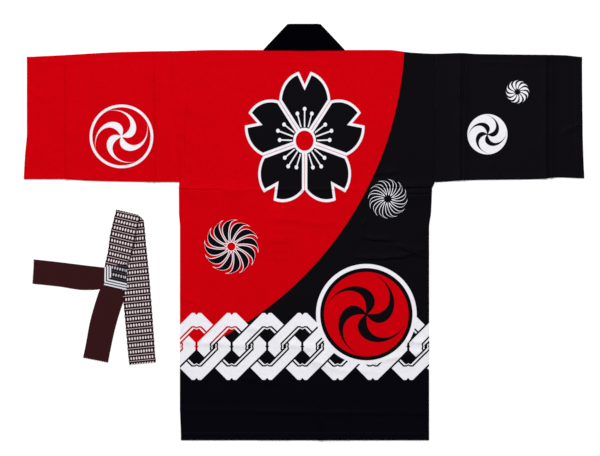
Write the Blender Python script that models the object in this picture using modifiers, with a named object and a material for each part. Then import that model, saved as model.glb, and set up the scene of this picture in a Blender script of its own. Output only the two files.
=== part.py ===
"""Happi coat laid flat with its back up, and its belt folded beside it.

Metres, +Z up. The coat rests on Z = 0 with its fronts down. Its collar points to +Y and
its sleeves lie along X. Each cloth piece is a sheet of rows of points at mid thickness,
given its wall by Solidify. Pieces stay 0.3 mm apart where they are sewn.
"""

import math
from collections import namedtuple

import bmesh
import bpy
import numpy as np

WALL = 0.0010  # one layer of the coat's cotton
COLLAR_WALL = 0.0016  # the collar band, which is doubled
BELT_WALL = 0.0012
GAP = 0.0003  # between two pieces that are sewn together
LOWER = WALL / 2  # mid height of the cloth that lies on the surface
UPPER = 0.0018  # mid height of the cloth that lies on the lower cloth
HEM = -0.4830
COLLAR_TOP = 0.4830
NECK_Y = 0.4215  # the neck seam, where the collar starts
NECK_HALF = 0.0950  # half the neck seam's length
COLLAR_TOP_HALF = 0.0370  # half the collar's free edge above the neck
BAND_WIDTH = 0.0630
FOLD_RADIUS = 0.0014  # of the sleeve's folded edges, at mid thickness
COLLAR_FOLD_RADIUS = 0.00115  # of the band's folds at the neck sides, at mid thickness
BAND_CLEARANCE = 0.0009  # how much the back rises over the collar band
NECK_LEVEL = COLLAR_WALL / 2 + 2 * COLLAR_FOLD_RADIUS

# The body's side lines: the sleeve seam down to the underarm, then the side seam.
Side = namedtuple("Side", "y left right")
SIDES = (
    Side(0.4225, -0.3045, 0.3055),
    Side(0.2440, -0.2975, 0.3055),
    Side(0.1560, -0.2895, 0.3045),
    Side(0.1160, -0.2895, 0.3030),
    Side(0.1020, -0.2902, 0.2971),
    Side(0.0465, -0.2902, 0.2948),
    Side(0.0100, -0.2879, 0.2902),
    Side(-0.4000, -0.2879, 0.2902),
    Side(-0.4830, -0.2855, 0.2902),
)

# The folded top edge of the sleeves and shoulders, and the sewn lower edge of the sleeves.
Edge = namedtuple("Edge", "x y")
SHOULDER = (
    Edge(-0.650, 0.4063),
    Edge(-0.585, 0.4088),
    Edge(-0.418, 0.4175),
    Edge(-0.302, 0.4198),
    Edge(-0.195, 0.4222),
    Edge(0.195, 0.4222),
    Edge(0.251, 0.4160),
    Edge(0.306, 0.4136),
    Edge(0.362, 0.4150),
    Edge(0.400, 0.4130),
    Edge(0.603, 0.4100),
    Edge(0.650, 0.4060),
)
SLEEVE_FOOT = (
    Edge(-0.650, 0.1228),
    Edge(-0.566, 0.1228),
    Edge(-0.492, 0.1190),
    Edge(-0.344, 0.1162),
    Edge(-0.288, 0.1160),
    Edge(0.303, 0.1160),
    Edge(0.380, 0.1205),
    Edge(0.548, 0.1232),
    Edge(0.585, 0.1270),
    Edge(0.650, 0.1250),
)
Cuff = namedtuple("Cuff", "y left right")
CUFFS = (
    Cuff(0.4200, -0.6430, 0.6450),
    Cuff(0.2300, -0.6430, 0.6465),
    Cuff(0.1760, -0.6475, 0.6480),
    Cuff(0.1200, -0.6500, 0.6500),
)

# The collar band's seam with the fronts, from the shoulder down to the hem.
Band = namedtuple("Band", "y seam")
BAND_LINE = (
    Band(NECK_Y, NECK_HALF),
    Band(0.3000, 0.1080),
    Band(0.0500, 0.1150),
    Band(HEM, 0.1010),
)

# The largest pressed folds, each a straight ridge from one end to the other.
Ridge = namedtuple("Ridge", "x0 y0 x1 y1 rise reach")
RIDGES = (
    Ridge(-0.3494, 0.4160, -0.3494, 0.2900, 0.0022, 0.007),
    Ridge(-0.5548, 0.4090, -0.5548, 0.1230, 0.0014, 0.007),
    Ridge(-0.2620, 0.3370, -0.2740, 0.1500, 0.0018, 0.009),
    Ridge(0.3660, 0.4140, 0.3660, 0.2900, 0.0020, 0.007),
    Ridge(0.5676, 0.4100, 0.5676, 0.1260, 0.0020, 0.007),
    Ridge(-0.2900, 0.1010, -0.1250, 0.1010, 0.0020, 0.008),
    Ridge(0.1180, 0.1010, 0.2950, 0.1010, 0.0016, 0.008),
)

# The back's last rows, measured down from the shoulder, where it turns towards the fronts.
Turn = namedtuple("Turn", "below lift")
SHOULDER_TURN = (Turn(0.0060, 0.0003), Turn(0.0014, 0.0003), Turn(0.0006, -0.00005))

SLEEVE_FLAT_ROWS = (0.129, 0.156, 0.244, 0.403)
SLEEVE_ROWS = (0.129, 0.156, 0.200, 0.244, 0.300, 0.337, 0.380, 0.403)
LEFT_SLEEVE_LINES = (-0.3424, -0.3494, -0.3564, -0.440, -0.5478, -0.5548, -0.5618, -0.600)
RIGHT_SLEEVE_LINES = (0.3590, 0.3660, 0.3730, 0.460, 0.5606, 0.5676, 0.5746, 0.610)
BODY_ROWS = (-0.475, -0.42, -0.33, -0.24, -0.15, -0.06, 0.01, 0.05, 0.093, 0.101, 0.109)
BODY_COLUMN_SHARES = (0, 0.06, 0.11, 0.16, 0.21, 0.45, 0.70)  # from the side line to the band
UPPER_BODY_ROWS = (0.116, 0.156, 0.200, 0.244, 0.300, 0.337, 0.380, 0.405)

# The belt's stretches. A row crosses the stretch from its near edge to its far edge.
# "step" is the share of the width at which the cloth has climbed from "low" to "high".
Row = namedtuple("Row", "near_x near_y far_x far_y low high step")
ON_TABLE = BELT_WALL / 2
ON_ONE = ON_TABLE + BELT_WALL + GAP
ON_TWO = ON_ONE + BELT_WALL + GAP
BELT = {
    "belt_left_tail": (
        Row(-0.6307, -0.1198, -0.6279, -0.0634, ON_TABLE, ON_TABLE, 0.5),
        Row(-0.5665, -0.1268, -0.5665, -0.0701, ON_TABLE, ON_TABLE, 0.5),
        Row(-0.5084, -0.1346, -0.5084, -0.0773, ON_TABLE, ON_TABLE, 0.5),
        Row(-0.4829, -0.1337, -0.4829, -0.0803, ON_TABLE, ON_TABLE, 0.5),
        Row(-0.4734, -0.1322, -0.4740, -0.0813, ON_TABLE, ON_TABLE, 0.5),
        Row(-0.4658, -0.1245, -0.4660, -0.0822, ON_TABLE, ON_TABLE, 0.5),
        Row(-0.4595, -0.1180, -0.4585, -0.0847, ON_TABLE, ON_TABLE, 0.5),
    ),
    "belt_down_tail": (
        Row(-0.5130, -0.2925, -0.4550, -0.3041, ON_TABLE, ON_TABLE, 0.5),
        Row(-0.5072, -0.2646, -0.4503, -0.2786, ON_TABLE, ON_TABLE, 0.5),
        Row(-0.4968, -0.2089, -0.4381, -0.2229, ON_TABLE, ON_TABLE, 0.5),
        Row(-0.4817, -0.1555, -0.4213, -0.1671, ON_TABLE, ON_TABLE, 0.5),
        Row(-0.4731, -0.1325, -0.4105, -0.1400, ON_TABLE, ON_TABLE, 0.5),
        Row(-0.4655, -0.1248, -0.4085, -0.1300, ON_TABLE, ON_TABLE, 0.5),
        Row(-0.4592, -0.1183, -0.4075, -0.1230, ON_TABLE, ON_TABLE, 0.5),
    ),
    "belt_return": (
        Row(-0.4040, -0.3062, -0.3450, -0.3004, ON_TABLE, ON_TABLE, 0.5),
        Row(-0.4165, -0.1764, -0.3565, -0.1764, ON_TABLE, ON_TABLE, 0.5),
    ),
    "belt_right_leg": (
        Row(-0.4053, -0.3076, -0.3440, -0.3018, ON_ONE, ON_ONE, 0.5),
        Row(-0.4120, -0.2380, -0.3491, -0.2345, ON_ONE, ON_ONE, 0.5),
        Row(-0.4183, -0.1660, -0.3542, -0.1660, ON_ONE, ON_ONE, 0.5),
        Row(-0.4239, -0.0836, -0.3605, -0.0900, ON_ONE, ON_ONE, 0.5),
        Row(-0.4290, -0.0200, -0.3665, -0.0300, ON_ONE, ON_ONE, 0.5),
        Row(-0.4350, 0.0518, -0.3744, 0.0371, ON_ONE, ON_ONE, 0.5),
    ),
    "belt_left_leg": (
        Row(-0.4350, 0.0518, -0.3842, 0.0411, ON_TWO, ON_TWO, 0.5),
        Row(-0.4440, 0.0180, -0.3900, 0.0100, 0.0032, ON_TWO, 0.35),
        Row(-0.4503, -0.0093, -0.3970, -0.0250, 0.0027, ON_TWO, 0.40),
        Row(-0.4543, -0.0418, -0.4040, -0.0560, 0.0023, ON_TWO, 0.50),
        Row(-0.4632, -0.0812, -0.4095, -0.0735, ON_ONE, ON_TWO, 0.55),
    ),
    "belt_corner": (
        Row(-0.4633, -0.0816, -0.4095, -0.0739, ON_ONE, ON_TWO, 0.55),
        Row(-0.4633, -0.1000, -0.4105, -0.1040, ON_ONE, ON_TWO, 0.55),
        Row(-0.4633, -0.1230, -0.4123, -0.1342, ON_ONE, ON_TWO, 0.55),
    ),
}

COLOURS = {
    "red": ((0.584, 0.0, 0.0044), 0.80),
    "black": ((0.005, 0.005, 0.006), 0.78),
    "collar_black": ((0.003, 0.003, 0.004), 0.70),
    "brown": ((0.034, 0.009, 0.010), 0.85),
    "brown_figured": ((0.120, 0.080, 0.080), 0.85),
}


def between(table, column, at):
    """Reads a column of a table at a value of its first column, in straight steps."""
    rows = sorted(table)
    return float(np.interp(at, [row[0] for row in rows], [getattr(row, column) for row in rows]))


def side_x(sign, y):
    """The body's side line, left for sign -1 and right for +1."""
    return between(SIDES, "left" if sign < 0 else "right", y)


def band_x(sign, y):
    """The seam between a front and its collar band."""
    return sign * between(BAND_LINE, "seam", y)


def ridge_height(x, y):
    """How far the pressed folds lift the upper cloth at a place."""
    lift = 0.0
    for ridge in RIDGES:
        start = np.array((ridge.x0, ridge.y0))
        along = np.array((ridge.x1, ridge.y1)) - start
        share = np.clip(np.dot((x, y) - start, along) / np.dot(along, along), 0, 1)
        away = np.linalg.norm((x, y) - start - share * along)
        lift = max(lift, ridge.rise * max(0.0, 1 - away / ridge.reach))
    return lift


def back_height(x, y):
    """Mid height of the back: it climbs over the two collar bands and sags between them."""
    sign = -1 if x < 0 else 1
    seam = abs(band_x(sign, y))
    free = seam - BAND_WIDTH
    over_band = np.interp(abs(x), (free - 0.012, free, seam, seam + 0.010), (0, 1, 1, 0))
    return UPPER + BAND_CLEARANCE * float(over_band) + ridge_height(x, y)


def solid_from_rows(name, rows, wall, material, closed=False):
    """Lofts a sheet through rows of points at mid thickness and gives it its wall.

    The rows run so that the sheet's upper side faces +Z, or outwards on a closed tube.
    """
    sheet = bmesh.new()
    grid = [[sheet.verts.new(point) for point in row] for row in rows]
    for near, far in zip(grid, grid[1:]):
        count = len(near)
        for i in range(count if closed else count - 1):
            j = (i + 1) % count
            sheet.faces.new((near[i], near[j], far[j], far[i]))
    mesh = bpy.data.meshes.new(name)
    sheet.to_mesh(mesh)
    sheet.free()
    mesh.materials.append(material)
    piece = bpy.data.objects.new(name, mesh)
    garment.objects.link(piece)
    thicken = piece.modifiers.new("wall", "SOLIDIFY")
    thicken.thickness = wall
    thicken.offset = 0
    thicken.use_even_offset = True
    return piece


def shoulder_y(x):
    return between(SHOULDER, "y", x)


def body_columns(y):
    """X of the back's columns in one row, set by the side lines and the collar bands."""
    columns = []
    for sign in (-1, 1):
        seam = band_x(sign, y)
        edge = side_x(sign, y)
        half = [edge + share * (seam - edge) for share in BODY_COLUMN_SHARES]
        half += [seam + sign * 0.010, seam]
        half += [seam - sign * BAND_WIDTH, seam - sign * (BAND_WIDTH + 0.012)]
        columns += half if sign < 0 else half[::-1]
    middle = len(columns) // 2
    return columns[:middle] + [0.0] + columns[middle:]


def make_back(material):
    """The back panel: flat rows up to the shoulder, where it turns down to the fronts."""
    rows = []
    for y in (HEM,) + BODY_ROWS + UPPER_BODY_ROWS:
        rows.append([(x, y, back_height(x, y)) for x in body_columns(y)])
    for step in SHOULDER_TURN:
        row = []
        for x in body_columns(NECK_Y):
            if abs(x) > NECK_HALF + GAP:
                y = shoulder_y(x) - step.below
                row.append((x, y, back_height(x, y) + step.lift))
            else:
                y = NECK_Y - GAP - (step.below - SHOULDER_TURN[-1].below)
                row.append((x, y, back_height(x, y)))
        rows.append(row)
    return solid_from_rows("back", rows, WALL, material)


def make_front(name, sign, material):
    """A front panel, flat on the surface, from the collar band's seam to the side seam."""
    rows = []
    for y in (HEM, -0.24, 0.01, 0.05, 0.102, 0.116, 0.156, 0.244, 0.300, 0.405, NECK_Y):
        inner = band_x(sign, y) + sign * GAP
        outer = side_x(sign, y)
        xs = [inner + share * (outer - inner) for share in (0, 1 / 3, 2 / 3, 1)]
        xs = xs if sign > 0 else xs[::-1]
        rows.append([(x, min(y, shoulder_y(x) - 0.0006), LOWER) for x in xs])
    return solid_from_rows(name, rows, WALL, material)


def sleeve_ring(x_at):
    """One section round a sleeve. x_at gives the section's X at a height up the sleeve.

    It runs up the lower cloth, round the folded top, down the upper cloth and round the
    sewn foot.
    """
    middle = x_at(0.27)
    top = shoulder_y(middle) - WALL / 2
    foot = between(SLEEVE_FOOT, "y", middle) + WALL / 2
    rise = LOWER + FOLD_RADIUS
    ring = []
    for y in SLEEVE_FLAT_ROWS:
        ring.append((y, LOWER))
    for angle in (-90, -45, 0, 45, 90):
        turn = math.radians(angle)
        ring.append(
            (top - FOLD_RADIUS + FOLD_RADIUS * math.cos(turn), rise + FOLD_RADIUS * math.sin(turn))
        )
    for y in SLEEVE_ROWS[::-1]:
        ring.append((y, UPPER + ridge_height(x_at(y), y)))
    for angle in (90, 135, 180, 225, 270):
        turn = math.radians(angle)
        ring.append(
            (foot + FOLD_RADIUS + FOLD_RADIUS * math.cos(turn), rise + FOLD_RADIUS * math.sin(turn))
        )
    return [(x_at(y), y, z) for y, z in ring]


def make_sleeve(name, sign, lines, material):
    """A sleeve: one rectangle folded at the top and sewn at the foot, pressed flat."""
    stations = [lambda y: side_x(sign, y) + sign * GAP]
    for line in lines:
        stations.append(lambda y, x=line: x)
    stations.append(lambda y: between(CUFFS, "left" if sign < 0 else "right", y))
    rings = [sleeve_ring(x_at) for x_at in stations]
    if sign > 0:
        rings.reverse()
    return solid_from_rows(name, rings, WALL, material, closed=True)


def make_collar_leg(name, sign, material):
    """The band down one front edge, up to the slanting fold at the neck's side."""
    level = COLLAR_WALL / 2
    rows = []
    for y in (HEM, -0.24, 0.05, 0.200, 0.300, 0.380):
        seam = band_x(sign, y)
        xs = np.linspace(seam, seam - sign * BAND_WIDTH, 3)
        rows.append([(x, y, level) for x in (xs if sign < 0 else xs[::-1])])
    seam_end = np.array((sign * NECK_HALF, NECK_Y))
    free_end = np.array((sign * COLLAR_TOP_HALF, COLLAR_TOP))
    ends = np.linspace(seam_end, free_end, 3)
    rows.append([(x, y - COLLAR_WALL, level) for x, y in (ends if sign < 0 else ends[::-1])])
    return solid_from_rows(name, rows, COLLAR_WALL, material)


def make_collar_neck(material):
    """The band behind the neck, standing out above the neck seam between its two folds."""
    rows = []
    for share in np.linspace(0, 1, 5):
        y = NECK_Y + share * (COLLAR_TOP - NECK_Y)
        half = NECK_HALF + share * (COLLAR_TOP_HALF - NECK_HALF)
        row = [(x, y, NECK_LEVEL) for x in np.linspace(-half, half, 7)]
        edge = GAP + COLLAR_FOLD_RADIUS
        turned = NECK_LEVEL - 0.35 * COLLAR_FOLD_RADIUS
        row = [(-half, y, turned), (-half + edge, y, NECK_LEVEL)] + row[1:-1]
        row += [(half - edge, y, NECK_LEVEL), (half, y, turned)]
        rows.append(row)
    return solid_from_rows("collar_neck", rows, COLLAR_WALL, material)


def make_belt_stretch(name, table, material):
    """One flat stretch of the belt, lying on whatever is under it."""
    rows = []
    for row in table:
        near = np.array((row.near_x, row.near_y))
        far = np.array((row.far_x, row.far_y))
        points = []
        for share, z in ((0, row.low), (row.step, row.high), (1, row.high)):
            x, y = near + share * (far - near)
            points.append((x, y, z))
        rows.append(points)
    return solid_from_rows(name, rows, BELT_WALL, material)


def finish(name):
    colour, roughness = COLOURS[name]
    material = bpy.data.materials.new(name)
    material.use_nodes = True
    shader = material.node_tree.nodes["Principled BSDF"]
    shader.inputs["Base Color"].default_value = (*colour, 1)
    shader.inputs["Roughness"].default_value = roughness
    shader.inputs["Metallic"].default_value = 0
    material.diffuse_color = (*colour, 1)
    return material


for old in list(bpy.data.objects):
    bpy.data.objects.remove(old, do_unlink=True)
garment = bpy.data.collections.new("happi_coat")
bpy.context.scene.collection.children.link(garment)

red = finish("red")
black = finish("black")
collar_black = finish("collar_black")
brown = finish("brown")
brown_figured = finish("brown_figured")

make_back(red)
make_front("left_front", -1, red)
make_front("right_front", 1, black)
make_sleeve("left_sleeve", -1, LEFT_SLEEVE_LINES, red)
make_sleeve("right_sleeve", 1, RIGHT_SLEEVE_LINES, black)
make_collar_leg("collar_left", -1, collar_black)
make_collar_leg("collar_right", 1, collar_black)
make_collar_neck(collar_black)
for stretch, table in BELT.items():
    make_belt_stretch(stretch, table, brown if stretch.endswith("tail") else brown_figured)
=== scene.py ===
"""Dresses a laid-out happi coat and its folded belt in printed cotton and woven belt cloth.

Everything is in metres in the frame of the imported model: +Z up off the table, +Y towards
the collar and +X towards the black sleeve.
"""

from __future__ import annotations

import logging
import math
from dataclasses import dataclass
from enum import Enum
from typing import Callable, NamedTuple, Sequence

import bmesh
import bpy
import numpy as np
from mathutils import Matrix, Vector


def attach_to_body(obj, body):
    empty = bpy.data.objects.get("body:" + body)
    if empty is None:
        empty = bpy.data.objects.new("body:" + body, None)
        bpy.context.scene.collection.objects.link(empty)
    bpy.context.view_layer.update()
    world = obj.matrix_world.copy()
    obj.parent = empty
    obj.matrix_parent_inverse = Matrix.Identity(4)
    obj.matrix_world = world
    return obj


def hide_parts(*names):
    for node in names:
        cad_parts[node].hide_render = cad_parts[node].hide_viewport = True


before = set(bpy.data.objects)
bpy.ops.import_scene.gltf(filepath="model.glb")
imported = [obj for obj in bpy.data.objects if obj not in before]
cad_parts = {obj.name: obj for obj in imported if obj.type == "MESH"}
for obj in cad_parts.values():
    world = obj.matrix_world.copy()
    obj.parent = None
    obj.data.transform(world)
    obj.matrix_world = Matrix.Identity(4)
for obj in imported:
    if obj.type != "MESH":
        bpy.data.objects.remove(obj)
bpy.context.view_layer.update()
LOG = logging.getLogger("happi")

Array = np.ndarray
Numbers = Sequence[float]


# ---------------- sizes of the cut


class Side(NamedTuple):
    """One height of the body's side lines."""

    y: float
    left: float
    right: float


class Edge(NamedTuple):
    """One point of an edge that runs along X."""

    x: float
    y: float


class Band(NamedTuple):
    """One height of the seam between a front and its collar band."""

    y: float
    seam: float


def smooth_line(at: Array, knots: Numbers, values: Numbers) -> Array:
    """Reads a smooth curve that never overshoots its knots.

    Args:
        at: Where to read it.
        knots: Places of the knots, in any order.
        values: Value at each knot.

    Returns:
        The curve's value at each place, held level past the ends.
    """
    order = np.argsort(knots)
    x = np.asarray(knots, float)[order]
    y = np.asarray(values, float)[order]
    step = np.diff(x)
    slope = np.diff(y) / step
    tangent = np.zeros_like(y)
    same = slope[:-1] * slope[1:] > 0
    tangent[1:-1][same] = 2 * slope[:-1][same] * slope[1:][same] / (slope[:-1] + slope[1:])[same]
    at = np.clip(np.asarray(at, float), x[0], x[-1])
    i = np.clip(np.searchsorted(x, at) - 1, 0, len(step) - 1)
    t = (at - x[i]) / step[i]
    return (
        (1 + 2 * t) * (1 - t) ** 2 * y[i]
        + t * (1 - t) ** 2 * step[i] * tangent[i]
        + t * t * (3 - 2 * t) * y[i + 1]
        + t * t * (t - 1) * step[i] * tangent[i + 1]
    )


def ease(share: Array) -> Array:
    """Turns a share into a smooth step from 0 to 1."""
    share = np.clip(share, 0, 1)
    return share * share * (3 - 2 * share)


@dataclass(frozen=True)
class CoatCut:
    """Outlines of the laid-out coat, and the heights of its two layers.

    Attributes:
        lower: Mid height of the cloth that lies on the table.
        upper: Mid height of the cloth that lies on it.
        wall: Thickness of one layer.
        hem: Y of the hem.
        neck_y: Y of the neck seam.
        neck_half: Half the neck seam's length.
        band_width: Width of the collar band.
        gap: Least room between two layers.
        hem_turn: From the hem's edge to its stitches.
        cuff_turn: From a cuff's edge to its stitches.
        turned: How much higher the cloth lies over a turned-in edge.
        turned_step: Width that the cloth takes to rise by that much.
        sides: The body's side lines.
        shoulder: The folded top edge of the sleeves and shoulders.
        sleeve_foot: The sleeves' sewn lower edge.
        cuffs: The cuffs' edges.
        band_line: The seams between the fronts and the collar band.
    """

    lower: float = 0.0005
    upper: float = 0.0018
    wall: float = 0.0007
    hem: float = -0.4830
    neck_y: float = 0.4215
    neck_half: float = 0.0950
    band_width: float = 0.0630
    gap: float = 0.0001
    hem_turn: float = 0.0175
    cuff_turn: float = 0.0165
    turned: float = 0.00025
    turned_step: float = 0.002
    sides: tuple[Side, ...] = (
        Side(0.4225, -0.3045, 0.3055),
        Side(0.2440, -0.2975, 0.3055),
        Side(0.1560, -0.2895, 0.3045),
        Side(0.1160, -0.2895, 0.3030),
        Side(0.1020, -0.2902, 0.2971),
        Side(0.0465, -0.2902, 0.2948),
        Side(0.0100, -0.2879, 0.2902),
        Side(-0.4000, -0.2879, 0.2902),
        Side(-0.4830, -0.2855, 0.2902),
    )
    shoulder: tuple[Edge, ...] = (
        Edge(-0.650, 0.4063),
        Edge(-0.585, 0.4088),
        Edge(-0.418, 0.4175),
        Edge(-0.302, 0.4198),
        Edge(-0.195, 0.4222),
        Edge(0.195, 0.4222),
        Edge(0.251, 0.4160),
        Edge(0.306, 0.4136),
        Edge(0.362, 0.4150),
        Edge(0.400, 0.4130),
        Edge(0.603, 0.4100),
        Edge(0.650, 0.4060),
    )
    sleeve_foot: tuple[Edge, ...] = (
        Edge(-0.650, 0.1228),
        Edge(-0.566, 0.1228),
        Edge(-0.492, 0.1190),
        Edge(-0.344, 0.1162),
        Edge(-0.288, 0.1160),
        Edge(0.303, 0.1160),
        Edge(0.380, 0.1205),
        Edge(0.548, 0.1232),
        Edge(0.585, 0.1270),
        Edge(0.650, 0.1250),
    )
    cuffs: tuple[Side, ...] = (
        Side(0.4200, -0.6430, 0.6450),
        Side(0.2300, -0.6430, 0.6465),
        Side(0.1760, -0.6475, 0.6480),
        Side(0.1200, -0.6500, 0.6500),
    )
    band_line: tuple[Band, ...] = (
        Band(0.4215, 0.0950),
        Band(0.3000, 0.1080),
        Band(0.0500, 0.1150),
        Band(-0.4830, 0.1010),
    )

    def _read(self, lines: Sequence[Side], sign: int, y: Array) -> Array:
        """X of one of a pair of lines, left for -1 and right for +1."""
        values = [row.left if sign < 0 else row.right for row in lines]
        return smooth_line(y, [row.y for row in lines], values)

    def side_x(self, sign: int, y: Array) -> Array:
        """X of the body's side line."""
        return self._read(self.sides, sign, y)

    def cuff_x(self, sign: int, y: Array) -> Array:
        """X of a cuff's edge."""
        return self._read(self.cuffs, sign, y)

    def shoulder_y(self, x: Array) -> Array:
        """Y of the folded top edge of the sleeves and shoulders."""
        return smooth_line(x, [e.x for e in self.shoulder], [e.y for e in self.shoulder])

    def foot_y(self, x: Array) -> Array:
        """Y of a sleeve's sewn lower edge."""
        return smooth_line(x, [e.x for e in self.sleeve_foot], [e.y for e in self.sleeve_foot])

    def seam_x(self, y: Array) -> Array:
        """Distance from the middle to the seam between a front and its band."""
        return smooth_line(y, [b.y for b in self.band_line], [b.seam for b in self.band_line])


CUT = CoatCut()


# ---------------- pressed folds and ripples


FADE_OUT = 0.006  # length over which a fold dies away past its ends


@dataclass(frozen=True)
class Fold:
    """One pressed fold or wrinkle, a soft ridge or trough along a slightly bowed line.

    Its line wanders and its height varies along it, in each fold another way.

    Attributes:
        start: X and Y of its first end.
        end: X and Y of its other end.
        rise: Height at its middle, negative for a trough.
        reach: How far its slope spreads to a side.
        strength: Share of the rise that is left at the first and the other end.
        bow: How far the middle stands off the straight line.
        lean: Steepness of its right side against its left one.
        crest: 2 for a round top, towards 1 for a sharp pressed one.
    """

    start: tuple[float, float]
    end: tuple[float, float]
    rise: float
    reach: float = 0.004
    strength: tuple[float, float] = (0.0, 0.0)
    bow: float = 0.0
    lean: float = 1.6
    crest: float = 1.4

    def height(self, x: Array, y: Array) -> Array:
        """Height that this fold adds at each place."""
        run = np.subtract(self.end, self.start)
        length = float(np.hypot(*run))
        along = ((x - self.start[0]) * run[0] + (y - self.start[1]) * run[1]) / length
        away = ((x - self.start[0]) * run[1] - (y - self.start[1]) * run[0]) / length
        share = np.clip(along / length, 0, 1)
        wander = 1 + 0.5 * np.sin(9 * share + self.rise * 4000)
        away = away - self.bow * np.sin(math.pi * share) * wander
        past = np.maximum(np.maximum(-along, along - length), 0)
        spread = np.where(away > 0, self.reach / self.lean, self.reach)
        level = np.interp(share, (0, 0.3, 0.7, 1), (self.strength[0], 1, 1, self.strength[1]))
        uneven = 1 + 0.22 * np.sin(17 * share + self.start[0] * 60) + 0.12 * np.sin(41 * share)
        profile = np.exp(-np.abs(away / spread) ** self.crest - (past / FADE_OUT) ** 2)
        return self.rise * level * uneven * profile


def folds_height(folds: Sequence[Fold], x: Array, y: Array) -> Array:
    """Height that all of a list's folds add at each place."""
    total = np.zeros_like(x)
    for fold in folds:
        total += fold.height(x, y)
    return total


BACK_FOLDS = (
    Fold((-0.2880, 0.1010), (-0.1250, 0.1000), 0.0064, 0.0060, (1, 0.2), 0.0010, 0.32, 1.0),
    Fold((-0.2880, 0.0995), (-0.1750, 0.0990), -0.0034, 0.0024, (1, 0), 0.0010, 0.30, 1.1),
    Fold((-0.1900, 0.1000), (-0.1300, 0.1015), -0.0018, 0.0022, (0, 0), 0.0004, 1.0),
    Fold((-0.1250, 0.0985), (0.1180, 0.1000), 0.0022, 0.0034, (0.6, 0.6), 0.0010, 0.9, 1.2),
    Fold((0.1180, 0.1060), (0.2970, 0.1050), 0.0066, 0.0080, (0, 1), 0.0012, 0.36, 1.3),
    Fold((0.1350, 0.1040), (0.2960, 0.1030), -0.0056, 0.0024, (0, 1), 0.0012, 0.32, 1.1),
    Fold((0.1500, 0.0900), (0.2900, 0.0880), -0.0015, 0.0022, (0, 1), 0.0015, 1.0),
    Fold((-0.2640, 0.3500), (-0.2760, 0.1460), 0.0042, 0.0160, (0, 0.5), 0.0030, 1.0, 2.2),
    Fold((-0.2660, 0.3450), (-0.2780, 0.1460), -0.0042, 0.0024, (0, 0.7), 0.0030, 0.28, 1.2),
    Fold((-0.2830, 0.2600), (-0.2900, 0.1600), 0.0024, 0.0040, (0, 0.6), 0.0020, 1.3),
    Fold((0.1400, 0.1320), (0.2300, 0.1370), 0.0040, 0.0100, (0, 0), 0.0012, 0.7, 1.6),
    Fold((0.1400, 0.1290), (0.2300, 0.1350), -0.0044, 0.0026, (0, 0), 0.0012, 0.40, 1.1),
    Fold((-0.2790, 0.1400), (-0.2560, 0.0700), 0.0018, 0.0080, (0.4, 0), 0.003),
    Fold((-0.1180, 0.0900), (-0.1190, -0.1700), -0.0016, 0.0030, (0, 0), 0.0030, 1.0),
    Fold((-0.0500, 0.0800), (-0.0560, -0.0700), 0.0045, 0.0260, (0, 0), 0.0030, 1.0, 2.0),
    Fold((0.1300, -0.0110), (0.2130, -0.0190), 0.0045, 0.0055, (0, 0), 0.0030, 1.8),
    Fold((0.1340, -0.0160), (0.2130, -0.0240), -0.0024, 0.0018, (0, 0), 0.0030, 1.0, 1.3),
    Fold((0.2100, -0.0300), (0.2810, -0.0600), 0.0045, 0.0060, (0, 0.4), -0.0020, 1.8),
    Fold((0.1180, -0.0600), (0.2230, -0.0580), 0.0039, 0.0060, (0, 0.7), 0.0020, 1.8),
    Fold((0.1200, -0.0650), (0.2230, -0.0630), -0.0021, 0.0018, (0, 0.7), 0.0020, 1.0, 1.3),
    Fold((0.2230, -0.0580), (0.2830, -0.0420), 0.0036, 0.0055, (0.7, 0), -0.0015, 1.6),
    Fold((0.1450, 0.0400), (0.1300, -0.0300), 0.0027, 0.0060, (0, 0), 0.0040),
    Fold((-0.2800, -0.4130), (0.2800, -0.4200), 0.0021, 0.0060, (0.6, 0.6), 0.0020),
    Fold((-0.0800, 0.3950), (0.1080, 0.3900), 0.0018, 0.0060, (0, 0), 0.0020),
    Fold((-0.1250, 0.3960), (-0.2400, 0.3930), 0.0015, 0.0060, (0, 0.4), 0.0030),
    Fold((0.0370, -0.3550), (0.0390, -0.4800), 0.0024, 0.0050, (0, 1), 0.001),
    Fold((-0.2860, -0.1500), (-0.2300, -0.1700), 0.0018, 0.0070, (0.8, 0), 0.003),
    Fold((-0.0700, 0.0330), (0.0850, 0.0190), 0.0021, 0.0075, (0, 0), 0.0040),
    Fold((-0.2860, -0.2520), (-0.1000, -0.2620), 0.0033, 0.0085, (0.7, 0), 0.0030, 1.2),
    Fold((-0.0600, -0.2560), (0.0400, -0.2700), 0.0033, 0.0080, (0, 0), 0.0030, 1.2),
    Fold((-0.1400, -0.2200), (-0.0700, -0.2420), 0.0027, 0.0070, (0, 0), -0.0030, 1.2),
    Fold((0.0000, -0.2900), (0.0600, -0.3080), 0.0030, 0.0070, (0, 0), 0.0030, 1.2),
    Fold((0.1700, -0.2980), (0.2850, -0.2760), 0.0036, 0.0060, (0, 0.8), 0.0020, 1.4),
    Fold((0.2200, -0.2480), (0.2880, -0.2560), 0.0036, 0.0060, (0, 0.8), 0.0020, 1.4),
    Fold((0.0100, -0.3050), (0.1700, -0.3250), 0.0021, 0.0090, (0, 0), 0.0050),
    Fold((-0.1550, -0.3350), (-0.0400, -0.3500), 0.0018, 0.0090, (0, 0), 0.0040),
)
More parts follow.
